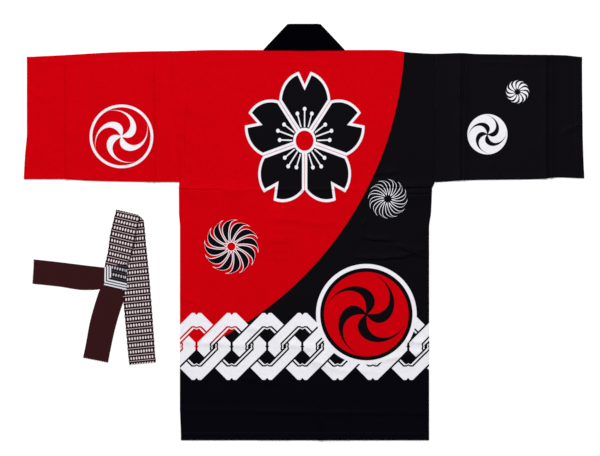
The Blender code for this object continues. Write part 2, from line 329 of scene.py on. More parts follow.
LEFT_SLEEVE_FOLDS = (
    Fold((-0.3500, 0.4230), (-0.3490, 0.1140), 0.0050, 0.0140, (1, 0.9), 0.0006, 1.0, 2.2),
    Fold((-0.3555, 0.4230), (-0.3540, 0.1140), -0.0018, 0.0036, (0.8, 1.8), 0.0008, 1.0, 1.2),
    Fold((-0.3475, 0.4230), (-0.3425, 0.1140), -0.0044, 0.0040, (1, 0.7), 0.0010, 1.0, 1.2),
    Fold((-0.5500, 0.4120), (-0.5500, 0.1200), 0.0030, 0.0090, (1, 1), 0.0008, 2.2),
    Fold((-0.5570, 0.4120), (-0.5560, 0.1200), -0.0012, 0.0022, (1, 1), 0.0010, 1.0),
    Fold((-0.4400, 0.1300), (-0.3900, 0.1900), 0.0021, 0.0080, (0.6, 0), 0.004),
    Fold((-0.6350, 0.3300), (-0.5900, 0.3000), 0.0018, 0.0070, (0.6, 0), 0.003),
    Fold((-0.6300, 0.3920), (-0.4200, 0.4020), 0.0015, 0.0070, (0.5, 0.3), 0.002),
)
RIGHT_SLEEVE_FOLDS = (
    Fold((0.3680, 0.4190), (0.3660, 0.1180), 0.0042, 0.0120, (1, 0.8), 0.0004, 1.0, 2.0),
    Fold((0.3660, 0.4190), (0.3650, 0.1180), -0.0036, 0.0032, (1, 0.8), 0.0004, 1.0, 1.2),
    Fold((0.3720, 0.4190), (0.3700, 0.2500), -0.0024, 0.0016, (1, 0), 0.0004, 1.0, 1.3),
    Fold((0.5680, 0.4140), (0.5680, 0.1230), 0.0056, 0.0110, (1, 1), 0.0024, 1.0, 1.8),
    Fold((0.5676, 0.4140), (0.5676, 0.1230), -0.0078, 0.0034, (1, 1), 0.0024, 1.0, 1.2),
    Fold((0.4500, 0.1350), (0.4100, 0.1900), 0.0021, 0.0080, (0.6, 0), 0.004),
    Fold((0.6400, 0.2500), (0.5950, 0.2250), 0.0021, 0.0070, (0.6, 0), 0.003),
    Fold((0.3900, 0.3960), (0.5400, 0.3900), 0.0015, 0.0070, (0.4, 0.4), 0.002),
)
UNDER_FOLDS = (
    Fold((-0.2850, 0.1010), (0.2920, 0.1010), 0.0004, 0.0035, (1, 1), 0.0010),
    Fold((-0.2000, 0.3300), (-0.2050, -0.4800), 0.0004, 0.0040, (0, 1), 0.0020),
    Fold((0.2050, 0.3600), (0.2000, -0.4800), 0.0004, 0.0040, (0, 1), 0.0020),
    Fold((-0.5548, 0.4120), (-0.5550, 0.1230), 0.0004, 0.0032, (1, 1), 0.0008),
    Fold((0.5676, 0.4120), (0.5676, 0.1250), 0.0004, 0.0032, (1, 1), 0.0020),
    Fold((-0.2840, -0.2000), (-0.1300, -0.2350), 0.0004, 0.0060, (1, 0), 0.0030),
    Fold((0.2850, -0.1000), (0.1400, -0.1300), 0.0004, 0.0060, (1, 0), 0.0030),
)


class Focus(NamedTuple):
    """A place on a sheet where its cells are small, so that they follow a sharp fold."""

    place: float
    reach: float
    gain: float


def crowd(share: Array, focuses: Sequence[Focus]) -> Array:
    """Moves even shares together near the places that need small cells."""
    fine = np.linspace(0, 1, 4001)
    density = np.ones_like(fine)
    for focus in focuses:
        density += focus.gain * np.exp(-(((fine - focus.place) / focus.reach) ** 2))
    total = np.concatenate([[0], np.cumsum((density[1:] + density[:-1]) / 2)])
    return np.interp(share, total / total[-1], fine)


@dataclass(frozen=True)
class Ripples:
    """Broad, shallow waves of cloth that was smoothed out by hand.

    Attributes:
        depth: Height of the waves.
        longest: Longest wavelength.
        seed: Picks the waves, the same ones each run.
        count: Number of waves.
        shorten: Length of each wave as a share of the one before.
    """

    depth: float
    longest: float
    seed: int
    count: int = 14
    shorten: float = 0.86

    def height(self, x: Array, y: Array) -> Array:
        """Height of the waves at each place."""
        pick = np.random.default_rng(self.seed)
        total = np.zeros_like(x)
        for number in range(self.count):
            angle = pick.uniform(0, math.pi)
            length = self.longest * self.shorten**number
            turn = 2 * math.pi / length
            phase = pick.uniform(0, 2 * math.pi)
            wave = np.sin(turn * (x * math.cos(angle) + y * math.sin(angle)) + phase)
            total += wave * (length / self.longest) ** 0.8
        return self.depth * total / 3


# ---------------- maths nodes for the prints


class Field:
    """A number at every point of the cloth, worked out by a chain of maths nodes."""

    def __init__(self, tree: bpy.types.NodeTree, socket: bpy.types.NodeSocket) -> None:
        """Holds the output socket that gives the number."""
        self.tree = tree
        self.socket = socket

    def _maths(self, operation: str, *values: Field | float, clamp: bool = False) -> Field:
        """Adds one maths node.

        Args:
            operation: Blender's name for the sum.
            values: Its inputs in order.
            clamp: Whether the result is kept from 0 to 1.

        Returns:
            The node's result.
        """
        node = self.tree.nodes.new("ShaderNodeMath")
        node.operation = operation
        node.use_clamp = clamp
        for place, value in enumerate(values):
            if isinstance(value, Field):
                self.tree.links.new(value.socket, node.inputs[place])
            else:
                node.inputs[place].default_value = float(value)
        return Field(self.tree, node.outputs[0])

    def __add__(self, other: Field | float) -> Field:
        """Sum."""
        return self._maths("ADD", self, other)

    def __sub__(self, other: Field | float) -> Field:
        """Difference."""
        return self._maths("SUBTRACT", self, other)

    def __rsub__(self, other: float) -> Field:
        """Difference from a plain number."""
        return self._maths("SUBTRACT", other, self)

    def __mul__(self, other: Field | float) -> Field:
        """Product."""
        return self._maths("MULTIPLY", self, other)

    def __pow__(self, other: float) -> Field:
        """Power."""
        return self._maths("POWER", self, other)

    def size(self) -> Field:
        """Value without its sign."""
        return self._maths("ABSOLUTE", self)

    def root(self) -> Field:
        """Square root."""
        return self._maths("SQRT", self)

    def wave(self) -> Field:
        """Sine."""
        return self._maths("SINE", self)

    def cosine(self) -> Field:
        """Cosine."""
        return self._maths("COSINE", self)

    def part(self) -> Field:
        """What is left past the whole number below."""
        return self._maths("FRACT", self)

    def least(self, other: Field | float) -> Field:
        """The smaller of two."""
        return self._maths("MINIMUM", self, other)

    def most(self, other: Field | float) -> Field:
        """The larger of two."""
        return self._maths("MAXIMUM", self, other)

    def past(self, limit: float) -> Field:
        """1 where the value is above a limit, 0 elsewhere."""
        return self._maths("GREATER_THAN", self, limit)

    def angle_to(self, across: Field) -> Field:
        """Angle of the direction whose rise is this and whose run is across."""
        return self._maths("ARCTAN2", self, across)

    def inside(self, edge: float = 0.0004) -> Field:
        """Mask of where a distance is below 0, soft over one edge width."""
        return self._maths("MULTIPLY_ADD", self, -1 / edge, 0.5, clamp=True)

    def blend(self, other: Field | float, mask: Field) -> Field:
        """This value, and the other one where the mask is 1."""
        node = self.tree.nodes.new("ShaderNodeMix")
        node.data_type = "FLOAT"
        self.tree.links.new(mask.socket, node.inputs[0])
        self.tree.links.new(self.socket, node.inputs[2])
        if isinstance(other, Field):
            self.tree.links.new(other.socket, node.inputs[3])
        else:
            node.inputs[3].default_value = float(other)
        return Field(self.tree, node.outputs[0])


class Dye(Enum):
    """A printed colour, as its shares of white ink and of red dye over black."""

    WHITE = (1.0, 0.0)
    RED = (0.0, 1.0)
    BLACK = (0.0, 0.0)


class Canvas:
    """The printed cloth, as fields that the motifs are laid down on one by one."""

    def __init__(self, x: Field, y: Field, ground: Dye) -> None:
        """Starts with a plain ground all over."""
        self.x = x
        self.y = y
        self.ink = x * 0 + ground.value[0]
        self.red = x * 0 + ground.value[1]

    def fill(self, mask: Field, dye: Dye) -> None:
        """Prints a dye where the mask is 1."""
        self.ink = self.ink.blend(dye.value[0], mask)
        self.red = self.red.blend(dye.value[1], mask)

    def around(self, centre: tuple[float, float]) -> tuple[Field, Field, Field, Field]:
        """Gives X, Y, radius and angle about a centre."""
        x = self.x - centre[0]
        y = self.y - centre[1]
        return x, y, (x * x + y * y).root(), y.angle_to(x)


@dataclass(frozen=True)
class ArcGround:
    """A ground that is red inside a great circle and black outside it."""

    centre: tuple[float, float] = (-0.5720, 0.4660)
    radius: float = 0.8060

    def paint(self, canvas: Canvas) -> None:
        """Lays the red down."""
        radius = canvas.around(self.centre)[2]
        canvas.fill((radius - self.radius).inside(), Dye.RED)


@dataclass(frozen=True)
class LevelGround:
    """A ground that is red above a level and black below it."""

    level: float = -0.3000

    def paint(self, canvas: Canvas) -> None:
        """Lays the red down."""
        canvas.fill((self.level - canvas.y).inside(), Dye.RED)


@dataclass(frozen=True)
class ChainBand:
    """A band of white interlocked links, each a square on its corner with cut tips.

    Attributes:
        first: X of one link's middle.
        middle: Y of the band's middle.
        pitch: From one link to the next.
        outer: Half the outer square's diagonal.
        hole: Half the hole's diagonal.
        line: Near and far half diagonals of the thin line round the hole.
        tips: Height and half width that the outer square is cut to.
        hole_tips: The same for the hole.
        line_gap: From the hole's tips to the line's near and far edges.
        shadow: Width of the ground line beside a link that crosses over.
        dent: Half width and depth of the dents in the hole's and the line's upper tips.
        pinch: Depth and half width of the dents in their side tips.
        nick: Half width and depth of the nick in the outer square's tips.
        nick_lift: How far the nick's middle stands past the tip.
        notch: Half width and half height of the notch where two links' tips meet.
    """

    first: float = -0.2496
    middle: float = -0.2655
    pitch: float = 0.0819
    outer: float = 0.0884
    hole: float = 0.0478
    line: tuple[float, float] = (0.0530, 0.0584)
    tips: tuple[float, float] = (0.0776, 0.0793)
    hole_tips: tuple[float, float] = (0.0413, 0.0452)
    line_gap: tuple[float, float] = (0.0021, 0.0057)
    shadow: float = 0.0040
    dent: tuple[float, float] = (0.0042, 0.0024)
    pinch: tuple[float, float] = (0.0013, 0.0030)
    nick: tuple[float, float] = (0.0050, 0.0056)
    nick_lift: float = 0.0006
    notch: tuple[float, float] = (0.0052, 0.0040)

    def _cut_square(self, run: Field, rise: Field, diagonal: float, tips: Numbers) -> Field:
        """Distance to a square on its corner whose tips are cut off."""
        slope = (run + rise - diagonal) * math.sqrt(0.5)
        return slope.most(rise - tips[0]).most(run - tips[1])

    def _nick(self, run: Field, rise: Field, at: tuple[float, float], size: Numbers) -> Field:
        """Distance to a small nick, a square on its corner."""
        across = (run - at[0]).size() * (1 / size[0])
        up = (rise - at[1]).size() * (1 / size[1])
        return (across + up - 1) * min(size)

    def _dented(self, run: Field, rise: Field, diagonal: float, tips: Numbers) -> Field:
        """Distance to a cut square with a small dent in each of its tips."""
        square = self._cut_square(run, rise, diagonal, tips)
        top = self._nick(run, rise, (0, tips[0]), self.dent)
        side = self._nick(run, rise, (tips[1], 0), self.pinch)
        return square.most(top * -1).most(side * -1)

    def _link(self, run: Field, rise: Field) -> tuple[Field, Field]:
        """One link's distances: to its white cloth, and to its whole outline with its hole."""
        outer = self._cut_square(run, rise, self.outer, self.tips)
        hole = self._dented(run, rise, self.hole, self.hole_tips)
        shape = outer.most(hole * -1)
        nick = self._nick(run, rise, (0, self.tips[0] + self.nick_lift), self.nick)
        notch = self._nick(run, rise, (self.pitch, 0), self.notch)
        near = [tip + self.line_gap[0] for tip in self.hole_tips]
        far = [tip + self.line_gap[1] for tip in self.hole_tips]
        line = self._dented(run, rise, self.line[1], far).most(
            self._dented(run, rise, self.line[0], near) * -1
        )
        white = shape.most(nick * -1).most(notch * -1).most(line * -1)
        return white, shape

    def paint(self, canvas: Canvas) -> None:
        """Lays the links down, each over one neighbour and under the other."""
        share = ((canvas.x - self.first) * (1 / self.pitch)).part()
        before = share * self.pitch
        after = self.pitch - before
        height = canvas.y - self.middle
        rise = height.size()
        upper = height.past(0)
        over = before.blend(after, upper)
        under = after.blend(before, upper)
        over_white, over_shape = self._link(over, rise)
        under_white, _ = self._link(under, rise)
        clear = under_white.most((over_shape - self.shadow) * -1)
        canvas.fill(over_white.least(clear).inside(), Dye.WHITE)


@dataclass(frozen=True)
class Whorl:
    """A round whorl of curved blades with drop-shaped gaps, in a disc with rings about it.

    Attributes:
        centre: X and Y of its middle.
        radius: Radius of the disc.
        disc: Dye of the blades.
        gap: Dye between the blades.
        rings: Radius and dye of each ring, the widest first.
        blades: Number of blades.
        turn: Angle that the whorl is turned by.
        swirl: Angle that a gap sweeps from the middle to the rim.
        width: Half a gap's greatest width, as a share of the radius.
        bulge: How fast a gap swells towards half way out.
        thin: Half width of a gap's thin start, as a share of the radius.
        rim: Width of the rim that the gaps stop at, as a share of the radius.
    """

    centre: tuple[float, float]
    radius: float
    disc: Dye
    gap: Dye
    rings: tuple[tuple[float, Dye], ...] = ()
    blades: int = 4
    turn: float = 0.3
    swirl: float = 2.0
    width: float = 0.130
    bulge: float = 1.4
    thin: float = 0.020
    rim: float = 0.020

    def paint(self, canvas: Canvas) -> None:
        """Lays the rings, the disc and the gaps down."""
        _, _, radius, angle = canvas.around(self.centre)
        for reach, dye in self.rings:
            canvas.fill((radius - reach).inside(), dye)
        disc = radius - self.radius
        canvas.fill(disc.inside(), self.disc)
        share = (radius * (1 / self.radius)).least(1)
        axis = share**2 * self.swirl + self.turn
        phase = ((angle - axis) * (self.blades / (2 * math.pi))).part() - 0.5
        # A gap is a thin line at the middle, widest half way out and a hair's width at the rim.
        swell = (share * (1 - share)) ** self.bulge * (self.width / 0.25**self.bulge)
        half = (swell + self.thin) * (1 - share**8) * self.radius
        off = (phase * radius * (2 * math.pi / self.blades)).size() - half
        canvas.fill(off.most(disc + self.rim * self.radius).inside(), self.gap)


@dataclass(frozen=True)
class Pinwheel:
    """A wheel of pointed, curved blades with a thin outline.

    Attributes:
        centre: X and Y of its middle.
        radius: From the middle to the blades' points.
        blade: Dye of the blades.
        hub: Dye of the round hub.
        hub_share: Radius of the hub, as a share of the radius.
        fullness: Width of a blade against the room it has.
        spin: 1 where the points sweep clockwise, -1 where they sweep the other way.
        point: Angle of one blade's point.
        outline: Width of the white outline.
        blades: Number of blades.
        curve: Angle that a blade sweeps from the middle to its point.
        hook: Angle by which its point hooks on past that.
        soft: Width that the ink's edges blur over.
    """

    centre: tuple[float, float]
    radius: float
    blade: Dye
    hub: Dye
    hub_share: float
    fullness: float
    spin: int = 1
    point: float = 0.0
    outline: float = 0.0022
    blades: int = 12
    curve: float = 0.419
    hook: float = 0.340
    soft: float = 0.0005

    def paint(self, canvas: Canvas) -> None:
        """Lays the blades and the hub down."""
        _, _, radius, angle = canvas.around(self.centre)
        share = (radius * (1 / self.radius)).least(1)
        sweep = share**1.6 * self.curve + share**14 * self.hook - (self.curve + self.hook)
        axis = sweep * -self.spin + self.point
        step = 2 * math.pi / self.blades
        away = (((angle - axis) * (1 / step) + 0.5).part() - 0.5).size() * step
        taper = (1 - share**6) ** 0.7
        root = ((share - self.hub_share) * 7).most(0).least(1).root()
        half = taper * root * (self.fullness * step / 2)
        blade = ((away - half) * radius).most(radius - self.radius)
        canvas.fill(blade.inside(self.soft), Dye.WHITE)
        canvas.fill((blade + self.outline).inside(self.soft), self.blade)
        hub = radius - self.hub_share * self.radius
        if self.hub is Dye.RED:
            canvas.fill((hub - self.outline * 0.9).inside(self.soft), Dye.WHITE)
        canvas.fill(hub.inside(self.soft), self.hub)


@dataclass(frozen=True)
class Blossom:
    """A bold five-petalled blossom with notched petals, slits and fine stamens.

    Sizes from lobe to bead are shares of the radius, and run is measured along a petal.

    Attributes:
        centre: X and Y of its middle.
        radius: From the middle to the petals' edge.
        tall: How much taller than wide it is.
        outline: Width of the white outline.
        petals: Number of petals.
        lobe: Run to the middle of a petal's round end, its radius and its flatness.
        heel: Run that a petal's wedge reaches, and the wedge's slope.
        notch: Run of the notch's point, its slope, and what turns that into a distance.
        slit: Half width of the slit between petals.
        eye: Radius of the red eye.
        stamens: Slope and reach of the middle stamen and of the pair beside it.
        stem: Half width of a stamen's stem, and where it starts.
        bead: Radius of the bead on a stamen.
        soft: Width that the ink's edges blur over.
    """

    centre: tuple[float, float] = (0.0015, 0.2120)
    radius: float = 0.1390
    tall: float = 1.13
    outline: float = 0.0056
    petals: int = 5
    lobe: tuple[float, float, float] = (0.575, 0.425, 0.88)
    heel: tuple[float, float] = (0.60, 0.66)
    notch: tuple[float, float, float] = (0.83, 1.9, 0.46)
    slit: float = 0.004
    eye: float = 0.150
    stamens: tuple[tuple[float, float], ...] = ((0.0, 0.47), (0.30, 0.40))
    stem: tuple[float, float] = (0.0105, 0.20)
    bead: float = 0.030
    soft: float = 0.0006

    def _petals(self, run: Field, rise: Field) -> Field:
        """Distance to the outline of the petals."""
        r = self.radius
        middle, round_end, flatness = self.lobe
        from_middle = run - middle * r
        lobe = ((from_middle * from_middle) * flatness + rise * rise).root() - round_end * r
        heel = (run - self.heel[0] * r).most(rise - run * self.heel[1])
        point, slope, scale = self.notch
        notch = (rise * slope - (run - point * r)) * scale
        half_turn = math.pi / self.petals
        slit = (run * math.tan(half_turn) - rise) * math.cos(half_turn) - self.slit * r
        return lobe.least(heel).most(notch * -1).most(slit * -1)

    def paint(self, canvas: Canvas) -> None:
        """Lays the petals, their slits and the stamens down."""
        x = canvas.x - self.centre[0]
        y = (canvas.y - self.centre[1]) * (1 / self.tall)
        radius = (x * x + y * y).root()
        turn = 2 * math.pi / self.petals
        phase = ((y.angle_to(x) - math.pi / 2) * (1 / turn) + 0.5).part() - 0.5
        angle = phase * turn
        run = radius * angle.cosine()
        rise = (radius * angle.wave()).size()
        shape = self._petals(run, rise)
        canvas.fill(shape.inside(self.soft), Dye.WHITE)
        canvas.fill((shape + self.outline).inside(self.soft), Dye.BLACK)
        eye = radius - self.eye * self.radius
        canvas.fill((eye - self.outline).inside(self.soft), Dye.WHITE)
        canvas.fill(eye.inside(self.soft), Dye.RED)
        half, start = self.stem
        for slope, reach in self.stamens:
            tip = reach * self.radius
            off = (rise - run * slope).size() - half * self.radius
            stem = off.most(run - tip).most(start * self.radius - run)
            bead_x = run - tip
            bead_y = rise - tip * slope
            bead = (bead_x * bead_x + bead_y * bead_y).root() - self.bead * self.radius
            canvas.fill(stem.least(bead).inside(self.soft), Dye.WHITE)


# ---------------- finishes


def new_material(name: str) -> tuple[bpy.types.Material, bpy.types.NodeTree, bpy.types.Node]:
    """Makes a material and gives it, its tree and its shader."""
    material = bpy.data.materials.new(name)
    material.use_nodes = True
    tree = material.node_tree
    return material, tree, tree.nodes["Principled BSDF"]


def object_place(tree: bpy.types.NodeTree) -> tuple[Field, Field, bpy.types.NodeSocket]:
    """X and Y on the piece as fields, and the whole coordinate."""
    place = tree.nodes.new("ShaderNodeTexCoord").outputs["Object"]
    parts = tree.nodes.new("ShaderNodeSeparateXYZ")
    tree.links.new(place, parts.inputs[0])
    return Field(tree, parts.outputs[0]), Field(tree, parts.outputs[1]), place


def paler(colour: Numbers, factor: float) -> tuple[float, ...]:
    """A colour with each of its parts scaled."""
    return tuple(part * factor for part in colour)


def cloud(
    tree: bpy.types.NodeTree, place: bpy.types.NodeSocket, scale: float, detail: float = 2.0
) -> Field:
    """Soft noise from about 0.3 to 0.7.

    Args:
        tree: The material's nodes.
        place: Coordinate to read.
        scale: Blotches in a metre.
        detail: Octaves.

    Returns:
        The noise.
    """
    noise = tree.nodes.new("ShaderNodeTexNoise")
    noise.inputs["Scale"].default_value = scale
    noise.inputs["Detail"].default_value = detail
    tree.links.new(place, noise.inputs["Vector"])
    return Field(tree, noise.outputs[0])


def colour_mix(
    tree: bpy.types.NodeTree, mask: Field, low: object, high: object
) -> bpy.types.NodeSocket:
    """Mixes two colours, each a socket or a plain colour, by a mask."""
    node = tree.nodes.new("ShaderNodeMix")
    node.data_type = "RGBA"
    tree.links.new(mask.socket, node.inputs[0])
    for slot, value in ((6, low), (7, high)):
        if isinstance(value, bpy.types.NodeSocket):
            tree.links.new(value, node.inputs[slot])
        else:
            node.inputs[slot].default_value = (*value, 1)
    return node.outputs[2]


def shade(tree: bpy.types.NodeTree, colour: bpy.types.NodeSocket, value: Field) -> bpy.types.NodeSocket:
    """Scales a colour's brightness by a field."""
    node = tree.nodes.new("ShaderNodeVectorMath")
    node.operation = "SCALE"
    tree.links.new(colour, node.inputs[0])
    tree.links.new(value.socket, node.inputs["Scale"])
    return node.outputs[0]


def raise_surface(
    tree: bpy.types.NodeTree, shader: bpy.types.Node, height: Field, strength: float, depth: float
) -> None:
    """Feeds a height to the shader's normal as bump."""
    bump = tree.nodes.new("ShaderNodeBump")
    bump.inputs["Strength"].default_value = strength
    bump.inputs["Distance"].default_value = depth
    tree.links.new(height.socket, bump.inputs["Height"])
    tree.links.new(bump.outputs[0], shader.inputs["Normal"])


def plain_weave(x: Field, y: Field, pitch: float) -> Field:
    """Height of a plain weave from 0 to 1: warp and weft pass over each other in turn."""
    turn = math.pi / pitch
    checker = (x * turn).wave() * (y * turn).wave()
    ridge = (x * (2 * turn)).wave().size() * 0.5 + (y * (2 * turn)).wave().size() * 0.5
    return checker * 0.25 + ridge * 0.5 + 0.25


@dataclass(frozen=True)
class PrintedCotton:
    """Plain-weave cotton, dyed and printed.

    Attributes:
        name: The material's name.
        ground: Dye of the ground.
        motifs: What is printed on it, in order.
        red: Colour of the red dye.
        black: Colour of the black dye.
        white: Colour of the white ink.
        hem_black: Colour of the black dye towards the hem.
        hem_start: Y below which the black deepens, and how fast it does for each metre.
        pitch: From one thread to the next.
        drift: How far the print strays where the cloth was pulled.
        blotches: Broad blotches of tone in a metre.
        grain: Small blotches in a metre.
        slubs: Thick places of the yarn in a metre.
        relief: Height of the weave.
    """

    name: str
    ground: Dye
    motifs: tuple[object, ...] = ()
    red: tuple[float, float, float] = (0.488, 0.0001, 0.0030)
    black: tuple[float, float, float] = (0.0034, 0.0028, 0.0044)
    white: tuple[float, float, float] = (0.745, 0.740, 0.785)
    hem_black: tuple[float, float, float] = (0.0018, 0.0013, 0.0034)
    hem_start: tuple[float, float] = (-0.27, 14)
    pitch: float = 0.00052
    drift: float = 0.0022
    blotches: float = 16.0
    grain: float = 190.0
    slubs: float = 420.0
    relief: float = 0.00012

    def make(self) -> bpy.types.Material:
        """Builds the material."""
        material, tree, shader = new_material(self.name)
        x, y, place = object_place(tree)
        drift = (cloud(tree, place, 7.0, 1.0) - 0.5) * self.drift
        lift = (cloud(tree, place, 6.0, 1.0) - 0.5) * self.drift
        canvas = Canvas(x + drift, y + lift, self.ground)
        for motif in self.motifs:
            motif.paint(canvas)
        low = ((y * -1 + self.hem_start[0]) * self.hem_start[1]).most(0).least(1)
        deep = colour_mix(tree, low, self.black, self.hem_black)
        dyed = colour_mix(tree, canvas.red, deep, self.red)
        printed = colour_mix(tree, canvas.ink * 0.965, dyed, self.white)
        weave = plain_weave(x, y, self.pitch)
        slubs = cloud(tree, place, self.slubs, 3.0)
        grain = cloud(tree, place, self.grain)
        blotches = cloud(tree, place, self.blotches)
        tone = (blotches - 0.5) * 0.10 + (slubs - 0.5) * 0.22 + (grain - 0.5) * 0.20
        tone = tone + weave * 0.08 + 0.96
        tree.links.new(shade(tree, printed, tone), shader.inputs["Base Color"])
        rough = (slubs - 0.5) * 0.12 + canvas.red * 0.40 + canvas.ink * 0.18 + 0.54
        tree.links.new(rough.socket, shader.inputs["Roughness"])
        shader.inputs["Specular IOR Level"].default_value = 0.012
        raise_surface(tree, shader, weave + slubs * 0.8, 0.45, self.relief)
        return material


@dataclass(frozen=True)
class CollarCotton:
    """The collar band's doubled black cotton, closer woven and a little smoother.

    Attributes:
        name: The material's name.
        colour: Colour of the cloth.
        pitch: From one thread to the next.
        slubs: Thick places of the yarn in a metre.
        relief: Height of the weave.
    """

    name: str = "collar_cotton"
    colour: tuple[float, float, float] = (0.0003, 0.0001, 0.0011)
    pitch: float = 0.00045
    slubs: float = 380.0
    relief: float = 0.00012

    def make(self) -> bpy.types.Material:
        """Builds the material."""
        material, tree, shader = new_material(self.name)
        x, y, place = object_place(tree)
        slubs = cloud(tree, place, self.slubs, 3.0)
        weave = plain_weave(x, y, self.pitch)
        plain = colour_mix(tree, cloud(tree, place, 12.0), self.colour, paler(self.colour, 1.5))
        tree.links.new(shade(tree, plain, slubs * 0.5 + 0.75), shader.inputs["Base Color"])
        tree.links.new(((slubs - 0.5) * 0.2 + 0.78).socket, shader.inputs["Roughness"])
        shader.inputs["Specular IOR Level"].default_value = 0.006
        raise_surface(tree, shader, weave + slubs, 0.5, self.relief)
        return material


class BeltPattern(Enum):
    """How a stretch of the belt is woven."""

    PLAIN = "plain"
    FIGURED = "figured"
    CORNER = "corner"


@dataclass(frozen=True)
class BeltCloth:
    """Dark brown belt cloth, plain or with rows of white dots between pale lines.

    The pattern follows the piece's own map, in metres across and along the belt.

    Attributes:
        name: The material's name.
        pattern: How it is woven.
        width: Width of the belt.
        row: From one row of dots to the next.
        pitch: From one dot to the next, and from the edge to the first one.
        dot: Half width and half height of a dot.
        line: Half width of the pale line between rows.
        rib: From one rib of the weave to the next.
        relief: Height of the weave.
        bend: X of the corner's left edge, Y that it is read at, and how much it leans.
        foot: Y of the corner's foot at the left edge, and how much the foot slopes.
        stripes: From one stripe to the next, half a stripe's width, and where they end.
    """

    name: str
    pattern: BeltPattern
    width: float = 0.0630
    row: float = 0.0153
    pitch: float = 0.0063
    dot: tuple[float, float] = (0.0019, 0.0034)
    line: float = 0.00075
    rib: float = 0.0011
    relief: float = 0.00015
    bend: tuple[float, float, float] = (-0.4634, -0.0830, 0.012)
    foot: tuple[float, float] = (-0.1236, 0.226)
    stripes: tuple[float, float, float] = (0.0060, 0.00155, 0.0172)
    brown: tuple[float, float, float] = (0.0285, 0.0066, 0.0078)
    dark: tuple[float, float, float] = (0.0105, 0.0036, 0.0046)
    white: tuple[float, float, float] = (0.690, 0.595, 0.620)
    pale: tuple[float, float, float] = (0.470, 0.350, 0.380)
    # The corner's dots: a dimmer, bluer copy of the white dots, painted shade.
    painted_shade_dots: tuple[float, float, float] = (0.440, 0.440, 0.490)
    stripe: tuple[float, float, float] = (0.700, 0.705, 0.750)
    # Dark bluish grey between the corner's stripes and in place of its pale lines: partly the dark
    # ground, partly painted shade.
    between: tuple[float, float, float] = (0.055, 0.055, 0.070)

    def _figure(self, tree: bpy.types.NodeTree, across: Field, along: Field) -> bpy.types.NodeSocket:
        """Rows of oval dots with a pale line between them."""
        place = across * (1 / self.pitch)
        run = ((place + 0.5).part() - 0.5) * self.pitch
        rise = ((along * (1 / self.row)).part() - 0.5) * self.row
        oval = ((run * run) * (self.dot[1] / self.dot[0]) ** 2 + rise * rise).root() - self.dot[1]
        selvedge = ((place - 5).size() - 4.5) * self.pitch
        bar = self.row * 0.5 - rise.size() - self.line
        at_corner = self.pattern is BeltPattern.CORNER
        # At the corner the pale lines and the dots take their darker, bluer copies: painted shade over
        # the corner.
        pale, white = (self.between, self.painted_shade_dots) if at_corner else (self.pale, self.white)
        ground = colour_mix(tree, bar.inside(0.0005), self.dark, pale)
        return colour_mix(tree, oval.most(selvedge).inside(0.0008), ground, white)

    def _mitre(self, tree: bpy.types.NodeTree, base: bpy.types.NodeSocket) -> bpy.types.NodeSocket:
        """White stripes that turn the belt's corner with a mitre, and one more along its foot."""
        x, y, _ = object_place(tree)
        run = x - self.bend[0]
        left = run - (y - self.bend[1]) * self.bend[2]
        foot = (run * self.foot[1] + y - self.foot[0]) * (1 / math.hypot(1, self.foot[1]))
        pitch, half, end = self.stripes
        bent = left + pitch
        edge = bent.least(foot)
        stripe = (((edge - 0.4 * pitch) * (1 / pitch) + 0.5).part() - 0.5).size() * pitch - half
        upright = (left - end).most(bent - foot)
        area = (edge - end).least(upright)
        # The ground round the stripes takes the same dark bluish grey, partly painted shade.
        trimmed = colour_mix(tree, area.inside(0.0005), base, self.between)
        return colour_mix(tree, stripe.most(area).inside(0.0007), trimmed, self.stripe)

    def make(self) -> bpy.types.Material:
        """Builds the material."""
        material, tree, shader = new_material(self.name)
        own_map = tree.nodes.new("ShaderNodeUVMap")
        own_map.uv_map = BELT_MAP
        parts = tree.nodes.new("ShaderNodeSeparateXYZ")
        tree.links.new(own_map.outputs[0], parts.inputs[0])
        across = Field(tree, parts.outputs[0])
        along = Field(tree, parts.outputs[1])
        place = object_place(tree)[2]
        slubs = cloud(tree, place, 500.0, 3.0)
        rib = (along * (2 * math.pi / self.rib)).wave()
        twill = ((across + along) * (2 * math.pi / (self.rib * 0.8))).wave()
        if self.pattern is BeltPattern.PLAIN:
            base = colour_mix(tree, cloud(tree, place, 30.0), self.brown, paler(self.brown, 1.15))
        else:
            base = self._figure(tree, across, along)
        if self.pattern is BeltPattern.CORNER:
            base = self._mitre(tree, base)
        tone = rib * 0.05 + twill * 0.04 + (slubs - 0.5) * 0.25 + 0.97
        tree.links.new(shade(tree, base, tone), shader.inputs["Base Color"])
        tree.links.new(((slubs - 0.5) * 0.15 + 0.86).socket, shader.inputs["Roughness"])
        shader.inputs["Specular IOR Level"].default_value = 0.02
        raise_surface(tree, shader, rib * 0.5 + twill * 0.35 + slubs, 0.5, self.relief)
        return material


@dataclass(frozen=True)
class SewingThread:
    """Spun thread, its colour a little off the cloth's, with its strands' turns."""

    name: str
    colour: tuple[float, float, float]
    turn: float = 0.0006

    def make(self) -> bpy.types.Material:
        """Builds the material."""
        material, tree, shader = new_material(self.name)
        x, y, place = object_place(tree)
        twist = ((x + y) * (2 * math.pi / self.turn)).wave()
        plain = colour_mix(tree, cloud(tree, place, 900.0), self.colour, paler(self.colour, 1.4))
        tree.links.new(shade(tree, plain, twist * 0.1 + 0.95), shader.inputs["Base Color"])
        tree.links.new((twist * 0.05 + 0.65).socket, shader.inputs["Roughness"])
        shader.inputs["Specular IOR Level"].default_value = 0.10
        raise_surface(tree, shader, twist, 0.4, 0.0001)
        return material


